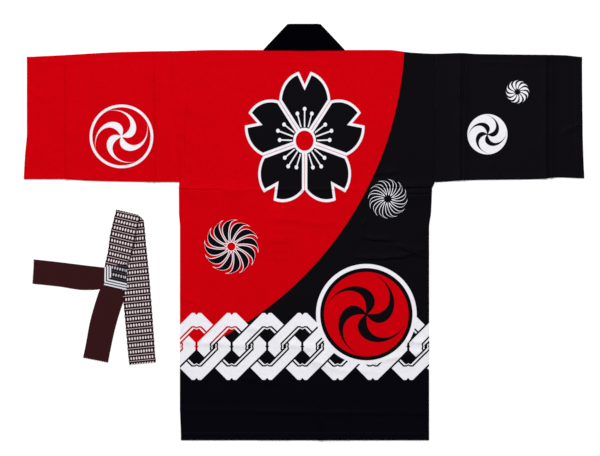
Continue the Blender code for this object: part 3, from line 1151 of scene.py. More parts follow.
@dataclass(frozen=True)
class PaleFloor:
    """Plain matt floor, close to white."""

    name: str = "pale_floor"
    tones: tuple[Numbers, Numbers] = ((0.955, 0.955, 0.957), (0.965, 0.965, 0.965))

    def make(self) -> bpy.types.Material:
        """Builds the material."""
        material, tree, shader = new_material(self.name)
        place = object_place(tree)[2]
        tone = colour_mix(tree, cloud(tree, place, 3.0), *self.tones)
        tree.links.new(tone, shader.inputs["Base Color"])
        shader.inputs["Roughness"].default_value = 0.95
        shader.inputs["Specular IOR Level"].default_value = 0.0
        return material


# ---------------- making cloth

BELT_MAP = "belt_map"
Placer = Callable[[Array, Array], tuple[Array, Array, Array]]


def deselect() -> None:
    """Leaves nothing selected, so that an operator acts on one piece only."""
    for other in list(bpy.context.selected_objects):
        other.select_set(False)


def choose(piece: bpy.types.Object) -> None:
    """Makes a piece the only selected and the active one."""
    deselect()
    piece.select_set(True)
    bpy.context.view_layer.objects.active = piece


def lay_sheet(name: str, columns: int, rows: int, place: Placer) -> bpy.types.Object:
    """Adds a grid and moves each of its points to its place on the cloth.

    Args:
        name: The piece's name.
        columns: Cells across.
        rows: Cells along.
        place: Gives X, Y and Z from shares across and along.

    Returns:
        The open sheet.
    """
    deselect()
    bpy.ops.mesh.primitive_grid_add(x_subdivisions=columns, y_subdivisions=rows, size=1)
    piece = bpy.context.object
    piece.name = name
    piece.data.name = name
    points = np.empty(len(piece.data.vertices) * 3)
    piece.data.vertices.foreach_get("co", points)
    points = points.reshape(-1, 3)
    placed = np.column_stack(place(points[:, 0] + 0.5, points[:, 1] + 0.5))
    piece.data.vertices.foreach_set("co", placed.ravel())
    piece.data.update()
    return piece


def close_tube(piece: bpy.types.Object) -> None:
    """Sews a sheet's two long edges together where they meet."""
    choose(piece)
    bpy.ops.object.mode_set(mode="EDIT")
    bpy.ops.mesh.select_all(action="SELECT")
    bpy.ops.mesh.remove_doubles(threshold=1e-6)
    bpy.ops.mesh.normals_make_consistent(inside=False)
    bpy.ops.object.mode_set(mode="OBJECT")


def give_wall(piece: bpy.types.Object, wall: float) -> None:
    """Gives a sheet its thickness and shades it smooth."""
    choose(piece)
    thicken = piece.modifiers.new("wall", "SOLIDIFY")
    thicken.thickness = wall
    thicken.offset = 0
    bpy.ops.object.modifier_apply(modifier=thicken.name)
    bpy.ops.object.shade_smooth_by_angle(angle=math.radians(50))


def attach(
    piece: bpy.types.Object, material: bpy.types.Material, nodes: Sequence[str] = ()
) -> None:
    """Dresses a piece, lets it ride on the coat and hides the solids it stands for."""
    piece.data.materials.clear()
    piece.data.materials.append(material)
    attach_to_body(piece, "root")
    if nodes:
        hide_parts(*nodes)
    faces = sum(len(face.vertices) - 2 for face in piece.data.polygons)
    LOG.info("%s: %d triangles", piece.name, faces)


BACK_ACROSS = (Focus(0.040, 0.032, 4.0), Focus(0.300, 0.012, 1.5), Focus(0.86, 0.10, 0.4))
BACK_UP = (Focus(0.6450, 0.012, 4.5), Focus(0.492, 0.040, 1.6), Focus(0.019, 0.006, 1.5))
SLEEVE_ALONG = {
    -1: (Focus(0.150, 0.022, 5.0), Focus(0.735, 0.018, 3.0), Focus(0.0, 0.012, 2.0)),
    1: (Focus(0.177, 0.022, 5.0), Focus(0.765, 0.018, 5.0), Focus(0.0, 0.012, 2.0)),
}


SIDE_NAMES = {-1: "left", 1: "right"}


@dataclass
class BackPanel:
    """The back of the coat, one panel from the hem to the shoulders.

    Attributes:
        columns: Cells across.
        rows: Cells up.
        turn: Radius of the fold at the shoulders.
        over_band: How much higher the back lies over a collar band.
        slopes: Width of its slope down to the opening and of the one down to the front.
        seam_dip: Depth and half width of the dip at the side seams.
        ripples: Waves of the cloth.
    """

    columns: int = 180
    rows: int = 270
    turn: float = 0.00065
    over_band: float = 0.0009
    slopes: tuple[float, float] = (0.014, 0.011)
    seam_dip: tuple[float, float] = (0.00055, 0.0022)
    ripples: Ripples = Ripples(0.00034, 0.34, 11)

    def height(self, x: Array, y: Array) -> Array:
        """Mid height of the back over the fronts and the collar bands."""
        seam = CUT.seam_x(y)
        free = seam - CUT.band_width
        away = np.abs(x)
        inner, outer = self.slopes
        climb = ease((away - free + inner) / inner) * ease((seam + outer - away) / outer)
        sides = np.minimum(x - CUT.side_x(-1, y), CUT.side_x(1, y) - x)
        seam_dip = self.seam_dip[0] * np.exp(-((sides / self.seam_dip[1]) ** 2))
        hem_lift = CUT.turned * ease((CUT.hem + CUT.hem_turn - y) / CUT.turned_step)
        level = CUT.upper + self.over_band * climb - seam_dip + hem_lift
        level += folds_height(BACK_FOLDS, x, y) + self.ripples.height(x, y)
        return np.maximum(level, CUT.lower + CUT.wall + CUT.gap)

    def place(self, across: Array, up: Array) -> tuple[Array, Array, Array]:
        """Where each share across and up lies."""
        across = crowd(across, BACK_ACROSS)
        flat = 1 - 5 / self.rows
        share = crowd(np.clip(up / flat, 0, 1), BACK_UP)
        angle = np.clip((up - flat) / (1 - flat), 0, 1) * math.pi / 2
        x = across * 0.59 - 0.295
        for _ in range(3):
            top = CUT.shoulder_y(x)
            at_neck = 1 - ease((np.abs(x) - CUT.neck_half) / 0.004)
            top = top * (1 - at_neck) + (CUT.neck_y + 0.0004) * at_neck
            y = CUT.hem + share * (top - self.turn - CUT.hem)
            left = CUT.side_x(-1, y)
            x = left + across * (CUT.side_x(1, y) - left)
        z = self.height(x, y) - (1 - at_neck) * self.turn * (1 - np.cos(angle))
        y = y + self.turn * np.sin(angle)
        return x, y, z

    def build(self, cloth: bpy.types.Material) -> bpy.types.Object:
        """Makes and dresses the panel."""
        piece = lay_sheet("back_cloth", self.columns, self.rows, self.place)
        give_wall(piece, CUT.wall)
        attach(piece, cloth, ["back"])
        return piece


@dataclass
class FrontPanel:
    """One front of the coat, face down on the table.

    Attributes:
        sign: -1 for the left front, +1 for the right one.
        columns: Cells across.
        rows: Cells up.
        turn: Radius of the fold at the shoulder.
    """

    sign: int
    columns: int = 52
    rows: int = 220
    turn: float = 0.00060

    def place(self, across: Array, up: Array) -> tuple[Array, Array, Array]:
        """Where each share across and up lies."""
        flat = 1 - 4 / self.rows
        share = np.clip(up / flat, 0, 1)
        angle = np.clip((up - flat) / (1 - flat), 0, 1) * math.pi / 2
        x = self.sign * (0.10 + 0.19 * across)
        for _ in range(3):
            top = CUT.shoulder_y(x) - 0.0001
            y = CUT.hem + share * (top - self.turn - CUT.hem)
            inner = self.sign * (CUT.seam_x(y) + 0.0003)
            x = inner + across * (CUT.side_x(self.sign, y) - self.sign * 0.0004 - inner)
        level = CUT.lower + folds_height(UNDER_FOLDS, x, y)
        z = level + self.turn * (1 - np.cos(angle))
        y = y + self.turn * np.sin(angle)
        return x, y, z

    def build(self, cloth: bpy.types.Material, slot: str) -> bpy.types.Object:
        """Makes and dresses the front."""
        name = f"{SIDE_NAMES[self.sign]}_front"
        piece = lay_sheet(f"{name}_cloth", self.columns, self.rows, self.place)
        give_wall(piece, CUT.wall)
        attach(piece, cloth, [name])
        return piece


@dataclass
class Sleeve:
    """One sleeve: a rectangle folded along the top and sewn along the foot, pressed flat.

    Attributes:
        sign: -1 for the left sleeve, +1 for the right one.
        folds: Its pressed folds.
        ripples: Waves of the cloth.
        columns: Cells along the arm.
        rows: Cells round the arm.
        turn: Radius of the folded edges.
        allowance: Height and width of the seam allowance under the cloth at the armhole.
        seam_dip: Depth and half width of the dip at the armhole seam.
        puff: How far from a folded edge the cloth starts to rise to it.
    """

    sign: int
    folds: tuple[Fold, ...]
    ripples: Ripples
    columns: int = 190
    rows: int = 230
    turn: float = 0.00115
    allowance: tuple[float, float] = (0.00045, 0.0075)
    seam_dip: tuple[float, float] = (0.0009, 0.0016)
    puff: float = 0.016

    def upper_height(self, x: Array, y: Array) -> Array:
        """Mid height of the cloth that lies on top."""
        level = CUT.upper + folds_height(self.folds, x, y) + self.ripples.height(x, y)
        from_seam = np.abs(x - CUT.side_x(self.sign, y))
        allowance = self.allowance[0] * ease((self.allowance[1] - from_seam) / 0.0015)
        seam_dip = self.seam_dip[0] * np.exp(-((from_seam / self.seam_dip[1]) ** 2))
        from_cuff = np.abs(CUT.cuff_x(self.sign, y) - x)
        cuff_lift = CUT.turned * ease((CUT.cuff_turn - from_cuff) / CUT.turned_step)
        level += allowance - seam_dip + cuff_lift
        return np.maximum(level, CUT.lower + CUT.wall + CUT.gap)

    def place(self, along: Array, around: Array) -> tuple[Array, Array, Array]:
        """Where each share along and around the sleeve lies."""
        along = crowd(along, SLEEVE_ALONG[self.sign])
        bend = 5 / self.rows
        side = 0.5 - bend
        on_upper = around > 0.5
        within = np.where(on_upper, around - 0.5, around)
        share = np.clip(within / side, 0, 1)
        share = np.where(on_upper, 1 - share, share)
        angle = np.clip((within - side) / bend, 0, 1) * math.pi
        middle = np.full_like(along, 0.27)
        x_middle = CUT.side_x(self.sign, middle) * (1 - along) + CUT.cuff_x(self.sign, middle) * along
        top = CUT.shoulder_y(x_middle) - self.turn
        foot = CUT.foot_y(x_middle) + self.turn
        y = foot + share * (top - foot)
        y = y + np.where(on_upper, -1, 1) * self.turn * np.sin(angle)
        near = CUT.side_x(self.sign, y) + self.sign * 0.0002
        x = near * (1 - along) + CUT.cuff_x(self.sign, y) * along
        from_edge = np.minimum(top + self.turn - y, y - foot + self.turn)
        puff = (2 * self.turn - (CUT.upper - CUT.lower)) * ease(1 - from_edge / self.puff)
        upper = self.upper_height(x, y) + puff
        lower = CUT.lower + folds_height(UNDER_FOLDS, x, y)
        round_edge = (1 - np.cos(angle)) / 2
        start = np.where(on_upper, upper, lower)
        stop = np.where(on_upper, lower, upper)
        return x, y, start + (stop - start) * round_edge

    def build(self, cloth: bpy.types.Material, slot: str) -> bpy.types.Object:
        """Makes and dresses the sleeve."""
        name = f"{SIDE_NAMES[self.sign]}_sleeve"
        piece = lay_sheet(f"{name}_cloth", self.columns, self.rows, self.place)
        close_tube(piece)
        give_wall(piece, CUT.wall)
        attach(piece, cloth, [name])
        return piece


class BandRow(NamedTuple):
    """One row across the collar band: its two ends, its height and its way up."""

    seam: tuple[float, float]
    free: tuple[float, float]
    level: float
    normal: tuple[float, float, float]


@dataclass
class CollarBand:
    """The collar, one doubled band up one front, round the neck and down the other.

    Attributes:
        thick: Thickness of the doubled cloth.
        fold: Radius of its two folds at the neck's sides, at mid thickness.
        top: Y of its free edge behind the neck.
        top_half: Half the free edge's length between the folds.
        level: Mid height of the band on the table.
        fold_y: Y from which a front's band slants in to its fold.
        arch: How much the band rises in the middle behind the neck.
        around: Cells round the band's section.
    """

    thick: float = 0.0015
    fold: float = 0.00115
    top: float = 0.4830
    top_half: float = 0.0370
    level: float = 0.0008
    fold_y: float = 0.330
    arch: float = 0.0004
    around: int = 40

    def _leg_rows(self, sign: int) -> list[BandRow]:
        """Rows up one front, from the hem to where the fold begins."""
        rows = []
        down = (0.0, 0.0, -1.0)
        for y in np.linspace(CUT.hem, self.fold_y, 150):
            seam = float(CUT.seam_x(np.array(y)))
            free = seam - CUT.band_width
            rows.append(BandRow((sign * seam, y), (sign * free, y), self.level, down))
        low = rows[-1]
        high_seam = (sign * (CUT.neck_half - 0.0006), CUT.neck_y - 0.0006)
        high_free = (sign * (self.top_half - 0.0006), self.top - 0.0006)
        for share in np.linspace(0, 1, 22)[1:-1]:
            seam = tuple(np.array(low.seam) * (1 - share) + np.array(high_seam) * share)
            free = tuple(np.array(low.free) * (1 - share) + np.array(high_free) * share)
            rows.append(BandRow(seam, free, self.level, down))
        return rows

    def _fold_rows(self, sign: int) -> list[BandRow]:
        """Rows round the slanting fold at one side of the neck, from below to above."""
        seam = np.array((sign * CUT.neck_half, CUT.neck_y))
        free = np.array((sign * self.top_half, self.top))
        run = (free - seam) / np.linalg.norm(free - seam)
        out = np.array((run[1], -run[0])) * sign
        rows = []
        for angle in np.linspace(-math.pi / 2, math.pi / 2, 9):
            shift = out * (self.fold * (math.cos(angle) - 1))
            level = self.level + self.fold * (1 + math.sin(angle))
            normal = (out[0] * math.cos(angle), out[1] * math.cos(angle), math.sin(angle))
            rows.append(BandRow(tuple(seam + shift), tuple(free + shift), level, normal))
        return rows

    def _neck_rows(self) -> list[BandRow]:
        """Rows behind the neck, from the left fold to the right one."""
        rows = []
        for share in np.linspace(0, 1, 52)[1:-1]:
            side = 2 * share - 1
            level = self.level + 2 * self.fold + self.arch * math.cos(side * math.pi / 2)
            seam = (side * (CUT.neck_half - 0.0012), CUT.neck_y - 0.0012)
            free = (side * (self.top_half - 0.0012), self.top)
            rows.append(BandRow(seam, free, level, (0.0, 0.0, 1.0)))
        return rows

    def rows(self) -> list[BandRow]:
        """All rows, from the left hem round the neck to the right hem."""
        left = self._leg_rows(-1) + self._fold_rows(-1)
        right = self._leg_rows(1) + self._fold_rows(1)
        return left + self._neck_rows() + right[::-1]

    def section(self) -> tuple[Array, Array]:
        """Shares across the band and heights through it, round its rounded section."""
        turn = np.linspace(0, 2 * math.pi, self.around, endpoint=False)
        wide = np.sign(np.cos(turn)) * np.abs(np.cos(turn)) ** 0.55
        high = np.sign(np.sin(turn)) * np.abs(np.sin(turn)) ** 0.28
        return 0.5 + 0.5 * wide, high * self.thick / 2

    def build(self, cloth: bpy.types.Material) -> bpy.types.Object:
        """Lofts the band through its rows and closes both ends."""
        share, high = self.section()
        mesh = bmesh.new()
        rings = []
        for row in self.rows():
            seam = np.array((*row.seam, row.level))
            free = np.array((*row.free, row.level))
            normal = np.array(row.normal)
            points = seam + np.outer(share, free - seam) + np.outer(high, normal)
            rings.append([mesh.verts.new(point) for point in points])
        for near, far in zip(rings, rings[1:]):
            for i in range(self.around):
                j = (i + 1) % self.around
                mesh.faces.new((near[i], near[j], far[j], far[i]))
        mesh.faces.new(rings[0][::-1])
        mesh.faces.new(rings[-1])
        bmesh.ops.recalc_face_normals(mesh, faces=mesh.faces)
        data = bpy.data.meshes.new("collar_cloth")
        mesh.to_mesh(data)
        mesh.free()
        piece = bpy.data.objects.new("collar_cloth", data)
        bpy.context.collection.objects.link(piece)
        choose(piece)
        bpy.ops.object.shade_smooth_by_angle(angle=math.radians(50))
        attach(piece, cloth, ["collar_left", "collar_right", "collar_neck"])
        return piece


# ---------------- the belt


class Row(NamedTuple):
    """One row across a stretch of the belt, from its near to its far edge.

    The low and high are the levels of its near and far ends, and the step the share of it
    over which it climbs. The roll is the radius that its far edge curls down by, the crimp
    how far the row stands out between dots where the belt is folded, and the droop how far
    its far end falls back. The last three give the row's map.
    """

    near_x: float
    near_y: float
    far_x: float
    far_y: float
    low: float
    high: float
    step: float = 0.5
    roll: float = 0.0
    crimp: float = 0.0
    droop: float = 0.0
    near_u: float = 0.0
    near_v: float = 0.0
    far_v: float = 0.0


ON_TABLE = 0.0006
ON_ONE = 0.0021
ON_TWO = 0.0036


class Lie(NamedTuple):
    """How the weave lies on one leg of the belt.

    Attributes:
        axis: Direction along the belt, of length 1, towards the foot of the picture.
        dots: Where one row of dots is, measured along the axis.
        way: 1 where the map runs with the axis, -1 where it runs against it.
        rows: Whole rows of dots to add, so that the map runs on from leg to leg.
    """

    axis: tuple[float, float]
    dots: float
    way: int
    rows: int = 0

    def read(self, x: float, y: float) -> float:
        """Length along the belt at a place."""
        along = x * self.axis[0] + y * self.axis[1] - self.dots
        return along * self.way + (self.rows + 0.5) * BeltCloth.row

    def dress(self, row: Row, width: float = BeltCloth.width) -> Row:
        """Gives a row its map along the belt."""
        span = np.subtract((row.far_x, row.far_y), (row.near_x, row.near_y))
        reach = span / np.linalg.norm(span) * width
        far = self.read(row.near_x + reach[0], row.near_y + reach[1])
        return row._replace(near_v=self.read(row.near_x, row.near_y), far_v=far)


LEFT_LIE = Lie((-0.2285, -0.9735), 0.05914, -1)
RIGHT_LIE = Lie((0.1045, -0.9945), 0.12808, 1, 15)


@dataclass
class BeltStretch:
    """One flat stretch of the belt, made through rows across it.

    Attributes:
        name: The piece's name.
        nodes: The solids that it stands for.
        rows: Rows across it, in order along the belt.
        pattern: How it is woven.
        pinked: Whether its first row is cut with pinking shears.
        width: Width of its cloth.
        wall: Thickness of the cloth.
        across: Cells across.
        spacing: Length of a cell along it.
        teeth: Teeth of the pinked end.
        tooth: Depth of a tooth.
        tooth_run: Length over which the cells straighten again behind the teeth.
        scallop: How far the figured cloth's edges wave with its rows.
        gather: How far a rolled edge draws in between rows of dots.
        crimp: How far a folded edge waves between dots, where a row's crimp is 1.
        full_roll: Roll from which the far edge counts as rolled.
        tuck_roll: Roll from which the spare cloth is tucked under it.
        drooped: Share across from which the far end droops.
        painted_shade_gap: Share across where a rolled edge's dots end, the share that this takes, and
        how far the map jumps there, so that the roll shows dark ground as painted shade.
    """

    name: str
    nodes: tuple[str, ...]
    rows: tuple[Row, ...]
    pattern: BeltPattern
    pinked: bool = False
    width: float = BeltCloth.width
    wall: float = 0.0010
    across: int = 66
    spacing: float = 0.0022
    teeth: int = 11
    tooth: float = 0.0030
    tooth_run: float = 0.0070
    scallop: float = 0.0006
    gather: float = 0.0007
    crimp: float = 0.0009
    full_roll: float = 0.003
    tuck_roll: float = 0.0012
    drooped: float = 0.80
    painted_shade_gap: tuple[float, float, float] = (0.826, 0.016, 0.008)

    def _lengths(self) -> Array:
        """Length along the stretch's middle at each row."""
        middle = [
            ((r.near_x + r.far_x) / 2, (r.near_y + r.far_y) / 2, (r.low + r.high) / 2) for r in self.rows
        ]
        steps = np.linalg.norm(np.diff(np.array(middle), axis=0), axis=1)
        return np.concatenate([[0], np.cumsum(steps)])

    def _read(self, column: str, along: Array) -> Array:
        """A column of the rows at each share along the stretch."""
        lengths = self._lengths()
        values = [getattr(row, column) for row in self.rows]
        return smooth_line(along * lengths[-1], lengths, values)

    def _arc(self, across: Array, along: Array, span: Array) -> tuple[Array, Array, Array]:
        """Length across the cloth at each place, the flat part's length, and the roll."""
        roll = self._read("roll", along)
        spare = np.maximum(self.width - span - (math.pi - 1) * roll, 0)
        tuck = spare * np.clip(roll / self.tuck_roll, 0, 1)
        flat = span - roll
        return across * (flat + math.pi * roll + tuck), flat, roll

    def place(self, across: Array, along: Array) -> tuple[Array, Array, Array]:
        """Where each share across and along lies."""
        near_x, near_y, far_x, far_y = (
            self._read(column, along) for column in ("near_x", "near_y", "far_x", "far_y")
        )
        span = np.hypot(far_x - near_x, far_y - near_y)
        way_x, way_y = (far_x - near_x) / span, (far_y - near_y) / span
        arc, flat, roll = self._arc(across, along, span)
        rolled = np.clip(roll / self.full_roll, 0, 1)
        flat = flat - self.gather * (1 + self._beat(across, along)) * rolled
        turn = np.clip((arc - flat) / np.maximum(roll, 1e-6), 0, math.pi)
        level = np.minimum(arc, flat)
        run = level + roll * np.sin(turn) - np.maximum(arc - flat - math.pi * roll, 0)
        low, high = self._read("low", along), self._read("high", along)
        z = low + (high - low) * ease(level / (flat * self._read("step", along)))
        z = z - roll * (1 - np.cos(turn))
        out = self.crimp * self._read("crimp", along) * np.cos(arc * (2 * math.pi / BeltCloth.pitch))
        out = out - self._read("droop", along) * ease((across - self.drooped) / (1 - self.drooped))
        if self.pattern is BeltPattern.FIGURED:
            run = run + self.scallop * (2 * across - 1) ** 15 * self._beat(across, along)
        x = near_x + run * way_x - out * way_y
        y = near_y + run * way_y + out * way_x
        at = along * self._lengths()[-1]
        if self.pinked:
            saw = np.abs((across * self.teeth) % 1 - 0.5) * 2 * self.tooth
            fade = np.clip(1 - at / self.tooth_run, 0, 1)
            first, second = self.rows[0], self.rows[1]
            step = np.subtract((second.near_x, second.near_y), (first.near_x, first.near_y))
            step = step / np.linalg.norm(step)
            x = x + saw * fade * step[0]
            y = y + saw * fade * step[1]
        # The cloth doesn't lie quite flat: two faint waves, one along it and one across.
        z = z + 0.00012 * np.sin(at * 95 + across * 2) + 0.0001 * np.sin(across * 7 + at * 40)
        return x, y, z

    def _beat(self, across: Array, along: Array) -> Array:
        """Wave between -1 and 1 that keeps step with the rows of dots."""
        near_v, far_v = self._read("near_v", along), self._read("far_v", along)
        return np.cos((near_v + across * (far_v - near_v)) * (2 * math.pi / BeltCloth.row))

    def _map(self, piece: bpy.types.Object) -> None:
        """Gives the stretch its map, in metres across and along the belt, with no dots on a roll, so
        that the roll prints dark as painted shade.
        """
        source = piece.data.uv_layers[0]
        source.name = BELT_MAP
        shares = np.empty(len(source.data) * 2)
        source.data.foreach_get("uv", shares)
        across, along = shares[0::2], shares[1::2]
        near_v, far_v = self._read("near_v", along), self._read("far_v", along)
        rolled = np.clip(self._read("roll", along) / self.full_roll, 0, 1)
        # The roll itself is real; the map jumps past the last dots where the edge rolls, so the roll
        # shows dark ground: painted shade.
        start, stretch, jump = self.painted_shade_gap
        painted_shade_gap = rolled * jump * ease((across - start) / stretch)
        u = self._read("near_u", along) + across * self.width + painted_shade_gap
        v = near_v + across * (far_v - near_v)
        source.data.foreach_set("uv", np.column_stack([u, v]).ravel())

    def build(self, cloths: dict[BeltPattern, bpy.types.Material]) -> bpy.types.Object:
        """Makes and dresses the stretch."""
        count = max(4, round(float(self._lengths()[-1]) / self.spacing))
        piece = lay_sheet(self.name, self.across, count, self.place)
        self._map(piece)
        give_wall(piece, self.wall)
        attach(piece, cloths[self.pattern], self.nodes)
        return piece


@dataclass
class Belt:
    """The belt, folded beside the coat: two plain tails, a corner and the figured run."""

    fold: float = 0.00075

    def _turned(
        self, start: Row, stop: Row, out: tuple[float, float], crimp: float, droop: float = 0.0
    ) -> list[Row]:
        """Rows round a fold, from one level and map to another along the same line.

        Args:
            start: The fold's line, with the level and map that it starts at.
            stop: The same line, with the level and map that it ends at.
            out: Direction in which the fold stands out, of length 1.
            crimp: How far the fold's edge waves between dots, negative where out is to the right.
            droop: How far the fold's far end falls back.

        Returns:
            Rows from the one level to the other.
        """
        rows = []
        for angle in np.linspace(0, math.pi, 9):
            shift = self.fold * (math.sin(angle) - 1)
            share = (1 - math.cos(angle)) / 2
            level = start.low + (stop.low - start.low) * share
            rows.append(
                start._replace(
                    near_x=start.near_x + out[0] * shift,
                    near_y=start.near_y + out[1] * shift,
                    far_x=start.far_x + out[0] * shift,
                    far_y=start.far_y + out[1] * shift,
                    low=level,
                    high=level,
                    crimp=crimp * math.sin(angle),
                    droop=droop,
                    near_v=start.near_v + (stop.near_v - start.near_v) * share,
                    far_v=start.far_v + (stop.far_v - start.far_v) * share,
                )
            )
        return rows

    def run_rows(self) -> tuple[Row, ...]:
        """Rows of the figured run: up the left leg, over the apex, down and back under."""
        apex = Row(-0.4350, 0.0518, -0.3744, 0.0371, ON_TWO, ON_TWO)
        bottom = Row(-0.4053, -0.3076, -0.3440, -0.3018, ON_ONE, ON_ONE)
        left_leg = (
            Row(-0.4632, -0.0812, -0.4095, -0.0735, ON_ONE, 0.0072, 0.96, 0.0018),
            Row(-0.4543, -0.0418, -0.4015, -0.0568, 0.0023, 0.0100, 0.90, 0.0034),
            Row(-0.4503, -0.0093, -0.3938, -0.0259, 0.0027, 0.0108, 0.90, 0.0038),
            Row(-0.4440, 0.0180, -0.3864, 0.0095, 0.0032, 0.0108, 0.90, 0.0038),
            Row(-0.4385, 0.0400, -0.3806, 0.0294, ON_TWO, 0.0102, 0.90, 0.0036),
            Row(-0.4365, 0.0470, -0.3790, 0.0362, ON_TWO, 0.0080, 0.94, 0.0026, 0.3, 0.001),
        )
        right_leg = (
            Row(-0.4330, 0.0400, -0.3720, 0.0270, ON_ONE, ON_ONE),
            Row(-0.4290, -0.0200, -0.3665, -0.0300, ON_ONE, ON_ONE),
            Row(-0.4239, -0.0836, -0.3605, -0.0900, ON_ONE, ON_ONE),
            Row(-0.4183, -0.1660, -0.3542, -0.1660, ON_ONE, ON_ONE),
            Row(-0.4120, -0.2380, -0.3491, -0.2345, ON_ONE, ON_ONE),
            Row(-0.4068, -0.2950, -0.3452, -0.2900, ON_ONE, ON_ONE),
        )
        under = (
            Row(-0.4070, -0.2900, -0.3460, -0.2860, ON_TABLE, ON_TABLE),
            Row(-0.4165, -0.1764, -0.3565, -0.1764, ON_TABLE, ON_TABLE),
        )
        over = LEFT_LIE.dress(apex)
        beyond = RIGHT_LIE.dress(apex)._replace(low=ON_ONE, high=ON_ONE)
        foot = RIGHT_LIE.dress(bottom)
        heel = foot._replace(low=ON_TABLE, near_v=foot.near_v + 0.0024, far_v=foot.far_v + 0.0024)
        back = []
        for row in under:
            length = math.hypot(row.near_x - bottom.near_x, row.near_y - bottom.near_y)
            back.append(row._replace(near_v=heel.near_v + length, far_v=heel.far_v + length))
        return (
            *(LEFT_LIE.dress(row) for row in left_leg),
            *self._turned(over, beyond, (0.2357, 0.9718), 1.0, 0.005),
            *(RIGHT_LIE.dress(row) for row in right_leg),
            *self._turned(foot, heel, (-0.0942, -0.9956), -1.0),
            *back,
        )

    def corner_rows(self) -> tuple[Row, ...]:
        """Rows of the corner, from the left leg down to its striped foot."""
        rows = (
            Row(-0.4633, -0.0816, -0.4095, -0.0739, ON_ONE, 0.0072, 0.96, 0.0018),
            Row(-0.4633, -0.1000, -0.4105, -0.1040, ON_ONE, 0.0060, 0.94, 0.0012),
            Row(-0.4638, -0.1235, -0.4116, -0.1346, ON_ONE, 0.0042, 0.90, 0.0003),
        )
        side = (-LEFT_LIE.axis[1], LEFT_LIE.axis[0])
        first = rows[0].near_x * side[0] + rows[0].near_y * side[1]
        return tuple(
            LEFT_LIE.dress(row, 0.0555)._replace(
                near_u=row.near_x * side[0] + row.near_y * side[1] - first
            )
            for row in rows
        )

    def stretches(self) -> list[BeltStretch]:
        """The belt's stretches, with rows at the places where they lie."""
        down_tail = (
            Row(-0.5130, -0.2925, -0.4550, -0.3041, ON_TABLE, ON_TABLE),
            Row(-0.5072, -0.2646, -0.4503, -0.2786, ON_TABLE, ON_TABLE),
            Row(-0.4968, -0.2089, -0.4381, -0.2229, ON_TABLE, ON_TABLE),
            Row(-0.4817, -0.1555, -0.4213, -0.1671, ON_TABLE, ON_TABLE),
            Row(-0.4731, -0.1325, -0.4105, -0.1400, ON_TABLE, ON_TABLE),
            Row(-0.4655, -0.1248, -0.4085, -0.1300, ON_TABLE, ON_TABLE),
            Row(-0.4592, -0.1183, -0.4075, -0.1230, ON_TABLE, ON_TABLE),
        )
        left_tail = (
            Row(-0.6307, -0.1198, -0.6279, -0.0634, ON_TABLE, ON_TABLE),
            Row(-0.5665, -0.1268, -0.5665, -0.0701, ON_TABLE, ON_TABLE),
            Row(-0.5084, -0.1346, -0.5084, -0.0773, ON_TABLE, ON_TABLE),
            Row(-0.4829, -0.1337, -0.4829, -0.0803, ON_TABLE, ON_TABLE),
            Row(-0.4734, -0.1322, -0.4740, -0.0813, ON_TABLE, ON_TABLE),
            Row(-0.4658, -0.1245, -0.4660, -0.0822, ON_TABLE, ON_TABLE),
            Row(-0.4595, -0.1180, -0.4585, -0.0847, ON_TABLE, ON_TABLE),
        )
        plain = BeltPattern.PLAIN
        return [
            BeltStretch("belt_down_tail_cloth", ("belt_down_tail",), down_tail, plain, True),
            BeltStretch("belt_left_tail_cloth", ("belt_left_tail",), left_tail, plain, True),
            BeltStretch(
                "belt_corner_cloth",
                ("belt_corner",),
                self.corner_rows(),
                BeltPattern.CORNER,
                width=0.0555,
            ),
            BeltStretch(
                "belt_run_cloth",
                ("belt_left_leg", "belt_right_leg", "belt_return"),
                self.run_rows(),
                BeltPattern.FIGURED,
            ),
        ]

    def build(self, cloths: dict[BeltPattern, bpy.types.Material]) -> dict[str, bpy.types.Object]:
        """Makes and dresses every stretch."""
        return {stretch.name: stretch.build(cloths) for stretch in self.stretches()}


# ---------------- stitches


@dataclass
class StitchRun:
    """A row of machine stitches, one small rounded stitch after another.

    Attributes:
        pitch: From one stitch to the next.
        length: Length of a stitch.
        thread: Thickness of the thread.
    """

    pitch: float = 0.0032
    length: float = 0.0025
    thread: float = 0.00038

    def build(
        self, name: str, paths: Sequence[Array], thread: bpy.types.Material, slot: str
    ) -> bpy.types.Object:
        """Copies one stitch along each path and joins the copies.

        Args:
            name: The piece's name.
            paths: Points of each path, on the cloth's surface.
            thread: The thread's finish.
            slot: Not used.

        Returns:
            The joined stitches.
        """
        deselect()
        bpy.ops.mesh.primitive_uv_sphere_add(segments=6, ring_count=4, radius=1)
        piece = bpy.context.object
        piece.name = name
        piece.data.name = name
        mesh = piece.data
        shape = np.empty(len(mesh.vertices) * 3)
        mesh.vertices.foreach_get("co", shape)
        shape = shape.reshape(-1, 3) * (self.thread / 2, self.thread / 2, self.length / 2)
        faces = [tuple(face.vertices) for face in mesh.polygons]
        points, polygons = [], []
        for path in paths:
            steps = np.linalg.norm(np.diff(path, axis=0), axis=1)
            lengths = np.concatenate([[0], np.cumsum(steps)])
            for at in np.arange(self.pitch / 2, lengths[-1], self.pitch):
                ends = [
                    np.array([np.interp(at + off, lengths, path[:, axis]) for axis in range(3)])
                    for off in (-self.length / 2, self.length / 2)
                ]
                along = (ends[1] - ends[0]) / max(np.linalg.norm(ends[1] - ends[0]), 1e-9)
                side = np.cross((0, 0, 1), along)
                side /= np.linalg.norm(side)
                turned = np.column_stack([side, np.cross(along, side), along])
                first = len(points) * len(shape)
                points.append(shape @ turned.T + (ends[0] + ends[1]) / 2)
                polygons += [tuple(first + corner for corner in face) for face in faces]
        mesh.clear_geometry()
        mesh.from_pydata(np.concatenate(points).tolist(), [], polygons)
        mesh.update()
        choose(piece)
        bpy.ops.object.shade_smooth()
        attach(piece, thread)
        return piece


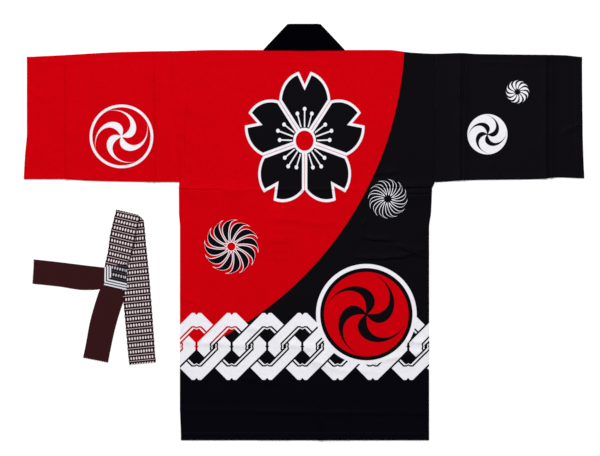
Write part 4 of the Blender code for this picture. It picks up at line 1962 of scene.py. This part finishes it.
@dataclass
class Stitching:
    """The stitches that show: the hem, the cuffs, and the collar's seam.

    Attributes:
        back: The panel that the hem is on.
        collar: The band that the neck's stitches are on.
        edge: From the collar's seam to its stitches.
    """

    back: BackPanel
    collar: CollarBand
    edge: float = 0.0022

    def hem_path(self) -> Array:
        """Along the back's hem."""
        x = np.linspace(-0.2845, 0.2890, 240)
        y = np.full_like(x, CUT.hem + CUT.hem_turn)
        return np.column_stack([x, y, self.back.height(x, y) + CUT.wall / 2])

    def cuff_path(self, sleeve: Sleeve) -> Array:
        """Along a cuff, on the side that shows."""
        y = np.linspace(0.4040, 0.1290, 140)
        x = CUT.cuff_x(sleeve.sign, y) - sleeve.sign * CUT.cuff_turn
        return np.column_stack([x, y, sleeve.upper_height(x, y) + CUT.wall / 2])

    def neck_path(self) -> Array:
        """Along the collar's seam behind the neck."""
        x = np.linspace(-0.0900, 0.0900, 90)
        y = np.full_like(x, CUT.neck_y + self.edge)
        arch = self.collar.arch * np.cos(x / CUT.neck_half * math.pi / 2)
        level = self.collar.level + 2 * self.collar.fold + self.collar.thick / 2 + arch
        return np.column_stack([x, y, level])


# ---------------- the studio


class Lamp(NamedTuple):
    """One square soft light: its place, its side in metres and its power in watts."""

    name: str
    spot: tuple[float, float, float]
    size: float
    power: float


@dataclass
class Studio:
    """The floor, the lights and the camera, straight above the coat.

    Attributes:
        centre: X and Y that the camera looks down on.
        width: Width of the view on the floor.
        lens: Focal length in millimetres.
        sensor: Width of the sensor in millimetres.
        lamps: A key from behind the collar, almost straight above, and a faint fill.
        surround: Strength of the even light from all round.
    """

    centre: tuple[float, float] = (-0.0093, 0.0093)
    width: float = 1.3929
    lens: float = 85.0
    sensor: float = 36.0
    lamps: tuple[Lamp, ...] = (
        Lamp("key_light", (-0.7, 3.0, 4.8), 2.0, 260),
        Lamp("fill_light", (0.10, 0.15, 2.4), 1.2, 11),
    )
    surround: float = 0.36

    def floor(self) -> None:
        """Adds the floor."""
        deselect()
        bpy.ops.mesh.primitive_plane_add(size=14, location=(0, 0, -0.0002))
        floor = bpy.context.object
        floor.name = "studio_floor"
        floor.data.materials.append(PaleFloor().make())

    def _hang(self, lamp: Lamp) -> None:
        """Adds a lamp that faces the coat."""
        light = bpy.data.lights.new(lamp.name, "AREA")
        light.shape = "SQUARE"
        light.size = lamp.size
        light.energy = lamp.power
        holder = bpy.data.objects.new(lamp.name, light)
        holder.location = lamp.spot
        holder.rotation_euler = (-Vector(lamp.spot)).to_track_quat("-Z", "Y").to_euler()
        bpy.context.scene.collection.objects.link(holder)

    def lights(self) -> None:
        """Adds the lamps and the even surround."""
        for lamp in self.lamps:
            self._hang(lamp)
        world = bpy.data.worlds.new("surround")
        world.use_nodes = True
        world.node_tree.nodes["Background"].inputs[0].default_value = (1, 1, 1, 1)
        world.node_tree.nodes["Background"].inputs[1].default_value = self.surround
        bpy.context.scene.world = world
        bpy.context.scene.view_settings.view_transform = "Standard"

    def camera(self) -> None:
        """Adds the camera, looking straight down with +Y up in the picture."""
        data = bpy.data.cameras.new("camera")
        data.lens = self.lens
        data.sensor_width = self.sensor
        camera = bpy.data.objects.new("camera", data)
        distance = self.width * self.lens / self.sensor
        camera.location = (*self.centre, distance)
        bpy.context.scene.collection.objects.link(camera)
        bpy.context.scene.camera = camera


# ---------------- putting it together


@dataclass(frozen=True)
class Prints:
    """What is printed on each piece of the coat."""

    chain: ChainBand = ChainBand()
    red_wheel: Pinwheel = Pinwheel(
        (-0.1688, -0.0339), 0.0640, Dye.BLACK, Dye.RED, 0.150, 0.88, 1, math.radians(16.5), 0.0018
    )
    black_wheel: Pinwheel = Pinwheel(
        (0.1943, 0.0771), 0.0458, Dye.BLACK, Dye.BLACK, 0.180, 0.64, -1, math.radians(0.4), 0.0016
    )
    small_wheel: Pinwheel = Pinwheel(
        (0.4954, 0.3252), 0.0272, Dye.WHITE, Dye.BLACK, 0.230, 0.66, 1, math.radians(25.3)
    )
    great_whorl: Whorl = Whorl(
        (0.1446, -0.1908),
        0.0982,
        Dye.RED,
        Dye.BLACK,
        ((0.1168, Dye.WHITE), (0.1073, Dye.BLACK)),
    )
    left_whorl: Whorl = Whorl(
        (-0.4232, 0.2220), 0.0680, Dye.RED, Dye.WHITE, ((0.0742, Dye.WHITE),), turn=0.9
    )
    right_whorl: Whorl = Whorl((0.4253, 0.2268), 0.0467, Dye.WHITE, Dye.BLACK, turn=0.6)

    def back(self) -> PrintedCotton:
        """Cloth of the back."""
        motifs = (
            ArcGround(),
            Blossom(),
            self.red_wheel,
            self.black_wheel,
            self.chain,
            self.great_whorl,
        )
        return PrintedCotton("back_print", Dye.BLACK, motifs, black=(0.0028, 0.0023, 0.0034))

    def front(self, sign: int) -> PrintedCotton:
        """Cloth of the left front for -1 and of the right one for +1."""
        motifs = (LevelGround(), self.chain) if sign < 0 else (self.chain,)
        return PrintedCotton(f"{SIDE_NAMES[sign]}_front_print", Dye.BLACK, motifs)

    def left_sleeve(self) -> PrintedCotton:
        """Cloth of the left sleeve."""
        return PrintedCotton("left_sleeve_print", Dye.RED, (self.left_whorl,))

    def right_sleeve(self) -> PrintedCotton:
        """Cloth of the right sleeve."""
        return PrintedCotton("right_sleeve_print", Dye.BLACK, (self.right_whorl, self.small_wheel))


def dress_coat() -> dict[str, bpy.types.Object]:
    """Builds the coat's pieces and their stitches.

    Returns:
        The pieces by name.
    """
    prints = Prints()
    back = BackPanel()
    left = Sleeve(-1, LEFT_SLEEVE_FOLDS, Ripples(0.00028, 0.22, 3))
    right = Sleeve(1, RIGHT_SLEEVE_FOLDS, Ripples(0.00028, 0.22, 5))
    collar = CollarBand()
    pieces = [
        back.build(prints.back().make()),
        FrontPanel(-1).build(prints.front(-1).make(), "red_cotton"),
        FrontPanel(1).build(prints.front(1).make(), "black_cotton"),
        left.build(prints.left_sleeve().make(), "red_cotton"),
        right.build(prints.right_sleeve().make(), "black_cotton"),
        collar.build(CollarCotton().make()),
    ]
    stitching = Stitching(back, collar)
    run = StitchRun()
    black_thread = SewingThread("black_thread", (0.010, 0.010, 0.012)).make()
    red_thread = SewingThread("red_thread", (0.42, 0.004, 0.008)).make()
    pieces += [
        run.build("hem_stitches", [stitching.hem_path()], black_thread, "body_cotton"),
        run.build("left_cuff_stitches", [stitching.cuff_path(left)], red_thread, "red_cotton"),
        run.build("right_cuff_stitches", [stitching.cuff_path(right)], black_thread, "black_cotton"),
        run.build("collar_stitches", [stitching.neck_path()], black_thread, "collar_cotton"),
    ]
    return {piece.name: piece for piece in pieces}


def main() -> None:
    """Builds the coat, the belt and the studio, and reports each piece."""
    logging.basicConfig(level=logging.INFO, format="%(name)s %(message)s")
    coat = dress_coat()
    cloths = {pattern: BeltCloth(f"belt_{pattern.value}", pattern).make() for pattern in BeltPattern}
    belt = Belt().build(cloths)
    studio = Studio()
    studio.floor()
    studio.lights()
    studio.camera()


if __name__ == "__main__":
    main()
